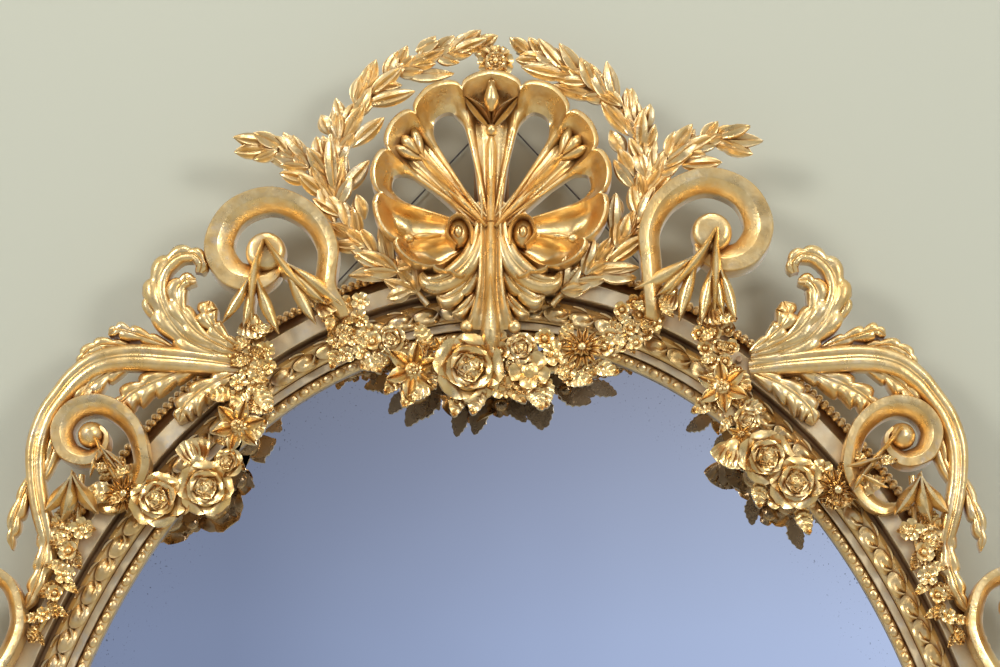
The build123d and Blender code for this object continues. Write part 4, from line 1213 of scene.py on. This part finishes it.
right_flowers += set_out(
    "leaf",
    (34, 32, 28, 30, 30, 28, 30, 30, 34, 28), (250, 300, 200, 330, 240, 260, 280, 350, 10, 300),
    [
        (229, 646), (237, 646), (224, 610), (243, 610), (246, 569), (266, 528), (305, 503), (325, 508),
        (356, 518), (238, 559),
    ],
)
right_flowers += set_out(
    ("blade", "blade", "blade", "bud", "bud", "blade", "blade", "blade"), (64, 62, 52, 24, 28, 34, 32, 28),
    (-108, -68, -88, -85, 240, 200, 230, -20),
    [
        (222, 750), (224, 750), (223, 748), (222, 712), (242, 568), (386, 548), (376, 542), (365, 530),
    ],
)
built(garland(right_flowers, [
    (224, 784, 6, 90), (223, 765, 9, 91), (223, 746, 13, 90), (222, 719, 8, 86), (222, 693, 8, 78),
    (224, 662, 9, 70), (227, 626, 10, 66), (241, 585, 10, 66), (258, 554, 11, 66), (294, 524, 12, 66),
    (333, 518, 12, 68), (366, 534, 10, 74), (389, 557, 7, 82), (407, 579, 6, 86),
], 56), "flower_garland_right", "garland_right", modelled, 50)

# Side drops: a bellflower below each lower scroll, with small flowers and husks that get smaller,
# modelled and gilded and wired on a stem that is pinned to the flat band.
side_flowers = [(kind, *spot(angle, reach), radius, turn) for kind, angle, reach, radius, turn in (
    ("five", 140.2, 66, 11, 10), ("five", 141.2, 84, 11, 40), ("cup", 142.4, 64, 11, 20),
    ("five", 144.2, 57, 10, 70), ("cup", 146, 56, 9, 0), ("five", 148, 56, 8, 30), ("cup", 150, 57, 7, 60),
    ("lily", 137.2, 104, 50, 268), ("lily", 137.4, 102, 46, 242), ("lily", 137.4, 101, 46, 296),
    ("leaf", 139.5, 86, 26, 220), ("leaf", 141, 70, 24, 200), ("leaf", 142, 66, 24, 290),
    ("leaf", 145, 58, 22, 215), ("leaf", 146.5, 57, 20, 280), ("leaf", 149, 57, 18, 240),
)]
side_stem = [(*spot(angle, reach), width, front) for angle, reach, width, front in (
    (136.8, 100, 7, 66), (139, 84, 8, 66), (141.4, 68, 9, 66), (144, 58, 9, 66), (147, 56, 8, 66),
    (150, 57, 6, 64),
)]
both_sides(garland(side_flowers, side_stem, 50), "side_drop_flowers_", "side_drop_", modelled, 50)

# Side scrolls: a long bevelled band beside the glass with a coil at each end and acanthus lobes,
# carved in pine and gilded and dowelled to the flat band.


def lobes(pairs):
    """The lobed leaves that break out along a band, given by root, tip and width."""
    parts = []
    for number, (root_x, root_z, tip_x, tip_z, width) in enumerate(pairs):
        side = 0.16 * (1 - 2 * (number % 2))
        run_x, run_z = tip_x - root_x, tip_z - root_z
        spine = []
        for share, hook, wide, front in (
            (0, 0, 0.6, 61), (0.3, 0.8, 1, 66), (0.65, 1, 1, 67), (0.9, 0.5, 0.6, 66), (1, 0.1, 0.1, 62),
        ):
            x = root_x + share * run_x - hook * side * run_z
            z = root_z + share * run_z + hook * side * run_x
            spine.append((x, z, wide * width / 2, wide * width / 2, front))
        parts.append(acanthus(spine, 3, 3, 0.7))
    return parts


high_eye = spot(150, 118)
low_eye = spot(204.5, 112)
side_line = curl(high_eye, [
    (290, 13, 11, 76), (240, 24, 14, 79), (190, 30, 16, 80), (140, 32, 16, 80), (90, 33, 16, 80),
    (40, 34, 16, 80), (-10, 38, 17, 80), (-48, 50, 18, 80),
])
side_line += [(*spot(angle, reach), width, 80) for angle, reach, width in (
    (157, 80, 20), (165, 70, 21), (174, 66, 22), (183, 66, 22), (192, 74, 20),
)]
side_line += curl(low_eye, [
    (44, 56, 18, 80), (4, 42, 17, 80), (-45, 36, 16, 80), (-90, 33, 16, 80), (-140, 31, 16, 80),
    (-190, 28, 16, 80), (-240, 21, 14, 79), (-290, 12, 11, 76),
])
side_lobes = [(*spot(angle, reach), *spot(tip, out), width) for angle, reach, tip, out, width in (
    (153, 84, 159.5, 112, 24), (156.5, 78, 163.5, 108, 24), (160.5, 70, 167.5, 100, 22),
    (164.5, 66, 172, 91, 20), (197.5, 84, 191, 99, 22), (193.5, 76, 187, 92, 22), (189.5, 70, 183, 88, 20),
    (185.5, 66, 179, 86, 18),
)]
side_parts = [strip(side_line, faceted_strip)] + lobes(side_lobes)
side_parts += [laid(smooth_ball, eye, 64, 0, (14, 14, 17)) for eye in (high_eye, low_eye)]
both_sides(side_parts, "side_scroll_band_", "side_scroll_", carved, 40)

# Foot scrolls: a bevelled scroll each side under the glass, with acanthus lobes, carved in pine and
# gilded, that run in to the cartouche.
foot_eye = spot(238.5, 104)
foot_line = [(*spot(angle, reach), width, front) for angle, reach, width, front in (
    (263.5, 78, 16, 78), (258, 68, 19, 80), (252, 64, 20, 80), (246.5, 68, 20, 80),
)]
foot_line += curl(foot_eye, [
    (16, 54, 19, 80), (52, 40, 18, 80), (100, 36, 17, 80), (150, 34, 16, 80), (200, 32, 16, 80),
    (250, 28, 15, 80), (300, 20, 13, 78), (345, 13, 10, 76),
])
foot_lobes = [(*spot(angle, reach), *spot(tip, out), width) for angle, reach, tip, out, width in (
    (252.5, 60, 246.5, 112, 26), (256, 62, 250.5, 116, 26), (260, 66, 254.8, 116, 26),
    (249, 60, 243.2, 98, 20),
)]
foot_parts = [strip(foot_line, turned_facets)] + lobes(foot_lobes)
foot_parts.append(laid(smooth_ball, foot_eye, 64, 0, (14, 14, 17)))
both_sides(foot_parts, "foot_scroll_band_", "foot_scroll_", carved, 40)

# Bottom cartouche: a fluted palmette round a small rosette, carved from one block of pine and
# gilded, that covers the joint of the two foot scrolls.
lobe_blade = leaf_form(
    table(0.45, 0.62, 0.78, 0.95, 1, 0.9, 0.5),
    lambda run, share: (0.35 + 0.65 * run) * (0.35 + 0.65 * sin(pi * min(abs(share) * 1.1, 1)))
    * (1 - 2.5 * max(run - 0.8, 0)),
    lambda run, share: -0.2,
)
hub = spot(270, 66)
palmette = [laid(smooth_ball, hub, 62, 0, (25, 25, 16)), laid(rosette_form, hub, 76, 0, (20, 20, 16))]
for heading, length, width in ((270, 94, 36), (242, 88, 34), (216, 76, 30), (190, 58, 24)):
    for turn in {heading, 540 - heading}:
        palmette.append(laid(lobe_blade, hub, 50, turn, (length, width, 26), lean=4))
        flute_foot = away_from(hub, turn, 0.3 * length)
        palmette.append(laid(soft_drop, flute_foot, 64, turn, (length * 0.55, 8, 8)))
for turn, length in ((90, 46), (68, 42), (112, 42), (45, 34), (135, 34)):
    palmette.append(laid(leaf_blade, hub, 60, turn, (length, 15, 12), lean=8))
built(palmette, "fluted_palmette", "bottom_cartouche", carved, 50)

# Bottom pendant: five husks and a drop, carved in one piece of pine and gilded. It is glued under
# the foot of the cartouche.
pendant = [laid(leaf_blade, (x, -top - 156), 52, turn, (length, 16, 13)) for x, turn, length in (
    (0, 270, 50), (-3, 256, 40), (3, 284, 40), (-5, 244, 28), (5, 296, 28),
)]
pendant.append(laid(smooth_ball, (0, -top - 210), 58, 0, (8, 8, 10)))
built(pendant, "husk_pendant", "bottom_pendant", carved, 50)

# Foot garlands: short garlands of modelled and gilded flowers, wired to the foot scrolls and pinned
# across the flat band.
foot_flowers = [(kind, *spot(angle, reach), radius, turn) for kind, angle, reach, radius, turn in (
    ("cup", 218, 58, 8, 0), ("five", 220.4, 54, 11, 20), ("five", 223.2, 52, 13, 50),
    ("rose", 227.2, 46, 20, 10), ("rose", 231.6, 44, 23, 60), ("star", 235.8, 48, 17, 15),
    ("five", 238.8, 54, 12, 40), ("leaf", 224, 40, 26, 30), ("leaf", 229, 32, 28, 60),
    ("leaf", 234, 36, 28, 20), ("leaf", 229, 58, 28, 225), ("leaf", 234, 60, 28, 250),
    ("leaf", 222, 60, 24, 160),
)]
foot_stem = [(*spot(angle, reach), 9, 66) for angle, reach in (
    (218, 58), (221, 52), (226, 46), (231, 44), (236, 48), (240, 54),
)]
both_sides(garland(foot_flowers, foot_stem, 50), "foot_flowers_", "foot_garland_", modelled, 50)

# Mirror glass: old silvered plate, bluish, with fine foxing near its edges. It lies behind the lip
# of the ring, held by the glazing blocks. Its CAD shape is kept.
glass, shader = new_look("old_silvered_glass")
place = glass.add("TexCoord").outputs["Object"]
fitted = (1000 / half_width, 0, 1000 / half_height)
oval = glass.add("VectorMath", {0: place, 1: fitted}, operation="MULTIPLY")
span = glass.add("VectorMath", {0: oval.outputs["Vector"]}, operation="LENGTH").outputs["Value"]
specks = glass.ranged(glass.noise(place, 420, 3), 0.66, 0.74)
foxing = glass.maths("MULTIPLY", specks, glass.ranged(span, 0.9, 1))
tint = glass.ramp(glass.noise(place, 2.4, 3), (0.3, (0.59, 0.64, 0.76)), (0.7, (0.66, 0.72, 0.84)))
glass.fill(shader, {
    "Metallic": 1, "Roughness": 0.012, "Base Color": glass.mixed(foxing, tint, (0.05, 0.04, 0.03)),
})


def dressed(material, *names):
    """Give CAD pieces whose shape is already right their finish."""
    for name in names:
        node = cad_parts[name]
        node.data.materials.clear()
        node.data.materials.append(material)


dressed(glass.owner, "mirror_plate")

# Back of the mirror: pine boards screwed to the ring, glazing blocks, crest block, dowels and iron
# fittings. Their CAD shapes are kept and given their finish.


def bare_wood(name, light, dark, board=0.0):
    """Old unfinished wood with its grain running up the piece, in boards of one width if given."""
    look, shader = new_look(name)
    place = look.add("TexCoord").outputs["Object"]
    stretch = look.add("Mapping", {"Vector": place, "Scale": (26, 26, 1.1)})
    grain = look.noise(stretch.outputs["Vector"], 5, 7, Distortion=0.6)
    colour = look.ramp(grain, (0.38, dark), (0.64, light))
    if board:
        joints = look.add("TexWave", {"Vector": place, "Scale": pi / (10 * board)}).outputs["Fac"]
        joint_line = look.ramp(joints, (0.0003, (0.12, 0.1, 0.09)), (0.0012, (1, 1, 1)))
        colour = look.mixed(1, colour, joint_line, "MULTIPLY")
    look.fill(shader, {"Base Color": colour, "Roughness": 0.75, "Normal": look.bump(grain, 0.4, 0.001)})
    return look.owner


dressed(bare_wood("pine_boards", (0.33, 0.21, 0.11), (0.22, 0.13, 0.062), 0.19), "backboard")
dressed(bare_wood("old_pine", (0.33, 0.21, 0.11), (0.20, 0.115, 0.055)), "glazing_blocks", "crest_block")
dressed(bare_wood("bare_beech", (0.50, 0.34, 0.19), (0.36, 0.22, 0.11)), "carving_dowels")
dressed(
    plain_metal("screw_steel", (0.35, 0.33, 0.30), 1, 0.38, 200),
    "backboard_screws", "crest_strap_screws", "hanging_plate_screws", "arm_bracket_screws",
)
dressed(
    plain_metal("black_iron", (0.05, 0.045, 0.04), 0.7, 0.5, 120),
    "crest_strap", "hanging_plate_left", "hanging_plate_right",
)

# Candle arms: cast and gilded brass, each with a bracket on the flat band, a curled arm that turns
# on its pin, a fluted drip pan and a turned nozzle for the candle.
gilt_brass = ("gilt_brass", gilding(
    "gilded_brass", (0.94, 0.75, 0.41), (0.86, 0.60, 0.25), (0.36, 0.17, 0.04), 0.2, 0.2, 0.3
))
bracket_middle = spot(213, 57)
barrel_top = bracket_middle[1] + 17
out_turn = radians(20)
arm_way = np.array((-sin(out_turn), -cos(out_turn), 0))
arm_side = np.array((-cos(out_turn), sin(out_turn), 0))
arm_origin = np.array((bracket_middle[0], -100.0, barrel_top))
pan_reach = 165
pan_flutes = 12


def spun(section, out=0.0, base=arm_origin, steps=40):
    """Turn a section of radius and height about an upright line, some way along the arm."""
    bpy.ops.object.select_all(action="DESELECT")
    mesh = bpy.data.meshes.new("section")
    places = [(radius, 0, height) for radius, height in section]
    mesh.from_pydata(places, [(i, i + 1) for i in range(len(section) - 1)], [])
    piece = bpy.data.objects.new("section", mesh)
    bpy.context.scene.collection.objects.link(piece)
    piece.select_set(True)
    bpy.context.view_layer.objects.active = piece
    bpy.ops.object.mode_set(mode="EDIT")
    bpy.ops.mesh.select_all(action="SELECT")
    bpy.ops.mesh.spin(steps=steps, angle=2 * pi, center=(0, 0, 0), axis=(0, 0, 1))
    bpy.ops.mesh.remove_doubles(threshold=0.0001)
    bpy.ops.object.mode_set(mode="OBJECT")
    points, faces = shape_of(piece)
    return points + (base + arm_way * out), faces


def in_arm_plane(points):
    """Take points given as out, height and aside to their place on the left arm."""
    return (
        arm_origin + np.outer(points[:, 0], arm_way) + np.outer(points[:, 2], (0, 0, 1))
        + np.outer(points[:, 1], arm_side)
    )


full_round = [(cos(2 * pi * step / 14), 0.5 + 0.5 * sin(2 * pi * step / 14)) for step in range(14)]


def arm_strip(line, half_thick):
    """A round bar in the upright plane of the arm; points are out, height and width."""
    bar = [(out, height, width, half_thick) for out, height, width in line]
    points, faces = strip(bar, full_round, -half_thick, 6)
    return in_arm_plane(points), faces


bracket_parts = [
    laid(smooth_ball, bracket_middle, 48, 0, (17, 17, 7)),
    laid(rosette_form, bracket_middle, 50, 0, (19, 19, 12)),
    spun([
        (4.05, -34), (8.6, -34), (9, -33), (9, -27), (7.6, -24), (7.6, -10), (9, -7), (9, -1), (8.6, 0),
        (4.05, 0),
    ]),
]
neck_points, neck_faces = spun([
    (0, 0), (7, 0), (7, 6), (5, 12), (4.6, 30), (6, 38), (6.6, 46), (0, 46),
], base=np.zeros(3), steps=28)
bracket_parts.append((np.column_stack((
    neck_points[:, 0] + bracket_middle[0], -48 - neck_points[:, 2], neck_points[:, 1] + bracket_middle[1],
)), neck_faces))
both_sides(bracket_parts, "arm_bracket_rose_", "arm_bracket_", gilt_brass, 40)

arm_line = [
    (0, 6, 9), (16, 6, 9.4), (34, 3, 9.6), (50, -10, 9.4), (66, -26, 9.2), (84, -34, 9.2), (104, -36, 9),
    (124, -35, 8.8), (142, -30, 8.6), (156, -18, 8.4), (163, -2, 8.2), (165, 14, 8), (165, 27, 8),
]
curl_line = [
    (58, -18, 5), (62, -34, 7.6), (66, -50, 8), (80, -65, 8), (98, -66, 7.6), (108, -54, 7), (103, -43, 6),
    (94, -44, 5), (92, -52, 4),
]
arm_parts = [
    arm_strip(arm_line, 4.6), arm_strip(curl_line, 3.6),
    spun([
        (0, -28), (3.6, -28), (4, -27.5), (4, 0), (9, 0.05), (9.2, 2), (7.4, 5), (7.4, 7), (9, 10),
        (8, 12), (4, 13.4), (0, 13.8),
    ]),
    spun([
        (0, 22), (4, 22), (6.4, 25), (8, 29), (8, 31.95), (4, 32), (4, 42.3), (0, 42.3),
    ], pan_reach),
]
for run, height, heading, length in (
    (40, 2, -20, 34), (44, 0, -62, 30), (128, -34, 34, 32), (60, -22, -110, 26),
):
    blade_points, blade_faces = laid(leaf_blade, (run, height), 0, heading, (length, 11, 6.4), bend=0.25)
    for side in (1, -1):
        arm_parts.append((in_arm_plane(blade_points * (1, side, 1)), blade_faces))
pan_points, pan_faces = spun([
    (4.2, 32), (10, 32), (20, 32.4), (30, 34), (36, 37), (38, 38.6), (37.6, 39), (35.6, 38.2), (30, 35.8),
    (20, 34.8), (4.2, 34.5), (4.2, 32),
], pan_reach, steps=64)
pan_middle = arm_origin + arm_way * pan_reach
for point in pan_points:
    away = point[:2] - pan_middle[:2]
    if hypot(*away) > 22:
        wave = 1 - 0.035 * (1 + cos(pan_flutes * atan2(away[1], away[0])))
        point[:2] = pan_middle[:2] + away * wave
nozzle_parts = [spun([
    (4.2, 34.5), (12.4, 34.5), (13.4, 36), (12.2, 38.5), (9.4, 41), (9.2, 43.5), (12.2, 45.4), (13.2, 50),
    (13, 60), (12.2, 66), (12.4, 69), (13.8, 70.6), (13.6, 72.6), (12.8, 74.2), (13.9, 76), (13, 76.5),
    (11, 76.5), (11, 44.5), (4.2, 44.4), (4.2, 34.5),
], pan_reach)]
for side in ("left", "right"):
    for name, node, parts in (
        ("curled_arm_", "candle_arm_", arm_parts), ("fluted_pan_", "drip_pan_", [(pan_points, pan_faces)]),
        ("turned_nozzle_", "candle_nozzle_", nozzle_parts),
    ):
        own_parts = turned_over(parts) if side == "right" else parts
        built(own_parts, name + side, node + side, gilt_brass, 40, "arm_" + side)

# Wall and floor: plain pale studio surfaces, which are not part of the mirror. The wall stands just
# behind the frame.
for name, place, turn, colour in (
    ("floor", (0, -3, -1.5), 0, (0.74, 0.73, 0.69)), ("wall", (0, 0.002, 0.6), pi / 2, (0.55, 0.55, 0.44)),
):
    bpy.ops.object.select_all(action="DESELECT")
    bpy.ops.mesh.primitive_plane_add(size=12, location=place, rotation=(turn, 0, 0))
    surface = bpy.context.object
    surface.name = name
    look, shader = new_look("plain_" + name)
    look.fill(shader, {"Base Color": colour, "Roughness": 0.85})
    surface.data.materials.append(look.owner)

# The wall, made last, is open from behind and to the light that reaches the back of the mirror.
rays = look.add("LightPath").outputs
near = look.maths("LESS_THAN", rays["Ray Length"], 0.12)
unseen = look.maths("SUBTRACT", near, rays["Is Camera Ray"], clamp=True)
gone = look.maths("MAXIMUM", look.add("NewGeometry").outputs["Backfacing"], unseen)
clear_wall = look.add("BsdfTransparent").outputs["BSDF"]
seen_wall = look.add("MixShader", {0: gone, 1: shader.outputs["BSDF"], 2: clear_wall})
look.fill(look.nodes["Material Output"], {"Surface": seen_wall.outputs["Shader"]})

# Studio light: a soft box each side in front of the mirror, a low one overhead, and a pale room
# whose tones show in the gilding and the glass.
for name, place, power, size in (
    ("soft_box_left", (-2.3, -2.6, 1.9), 46, 0.9), ("soft_box_right", (2.4, -2.8, 1.5), 40, 0.9),
    ("overhead", (0.1, -1.5, 2.9), 16, 0.8),
):
    bpy.ops.object.light_add(type="AREA", location=place)
    lamp = bpy.context.object
    lamp.name = name
    lamp.data.energy = power
    lamp.data.shape = "SQUARE"
    lamp.data.size = size
    aim = Vector((0, 0, 0.65)) - Vector(place)
    lamp.rotation_euler = aim.to_track_quat("-Z", "Y").to_euler()

world = Look(bpy.data.worlds.new("pale_room"))
bpy.context.scene.world = world.owner
room = world.fill(world.nodes["Background"], {"Color": (0.92, 0.95, 1.0), "Strength": 0.5})
toward = world.add("SeparateXYZ", {"Vector": world.add("TexCoord").outputs["Generated"]})


def room_tones(axis, *steps):
    """Tones of the room by direction: an axis reads from -1 to 1, and each step gives a colour."""
    reading = world.ranged(toward.outputs[axis], -1, 1)
    return world.ramp(reading, *[((1 + direction) / 2, colour) for direction, colour in steps])


upright = room_tones(
    "Z",
    (-0.4, (0.34, 0.33, 0.31)), (1, (1, 1, 0.98)), (0.02, (0.60, 0.66, 0.78)), (0.12, (0.72, 0.80, 0.98)),
    (0.215, (0.52, 0.52, 0.56)), (0.4, (0.58, 0.57, 0.55)), (0.7, (1, 0.99, 0.96)),
)
sideways = room_tones(
    "X",
    (-0.6, (1, 1, 1)), (1, (1, 1, 1)), (-0.22, (0.42, 0.42, 0.44)), (-0.1, (0.46, 0.47, 0.50)),
    (0.0, (0.74, 0.75, 0.78)), (0.13, (1, 1, 1)), (0.35, (0.9, 0.9, 0.9)),
)
tones = world.add("VectorMath", {0: upright, 1: sideways}, operation="MULTIPLY").outputs["Vector"]
seen = world.add("Background", {"Color": tones, "Strength": 1.0})
rays = world.add("LightPath").outputs
clear = world.maths("MAXIMUM", rays["Is Camera Ray"], rays["Is Transmission Ray"])
either = world.maths("MAXIMUM", clear, rays["Is Glossy Ray"])
shown = world.add("MixShader", {0: either, 1: room.outputs["Background"], 2: seen.outputs["Background"]})
world.fill(world.nodes["World Output"], {"Surface": shown.outputs["Shader"]})
bpy.context.scene.view_settings.view_transform = "Standard"
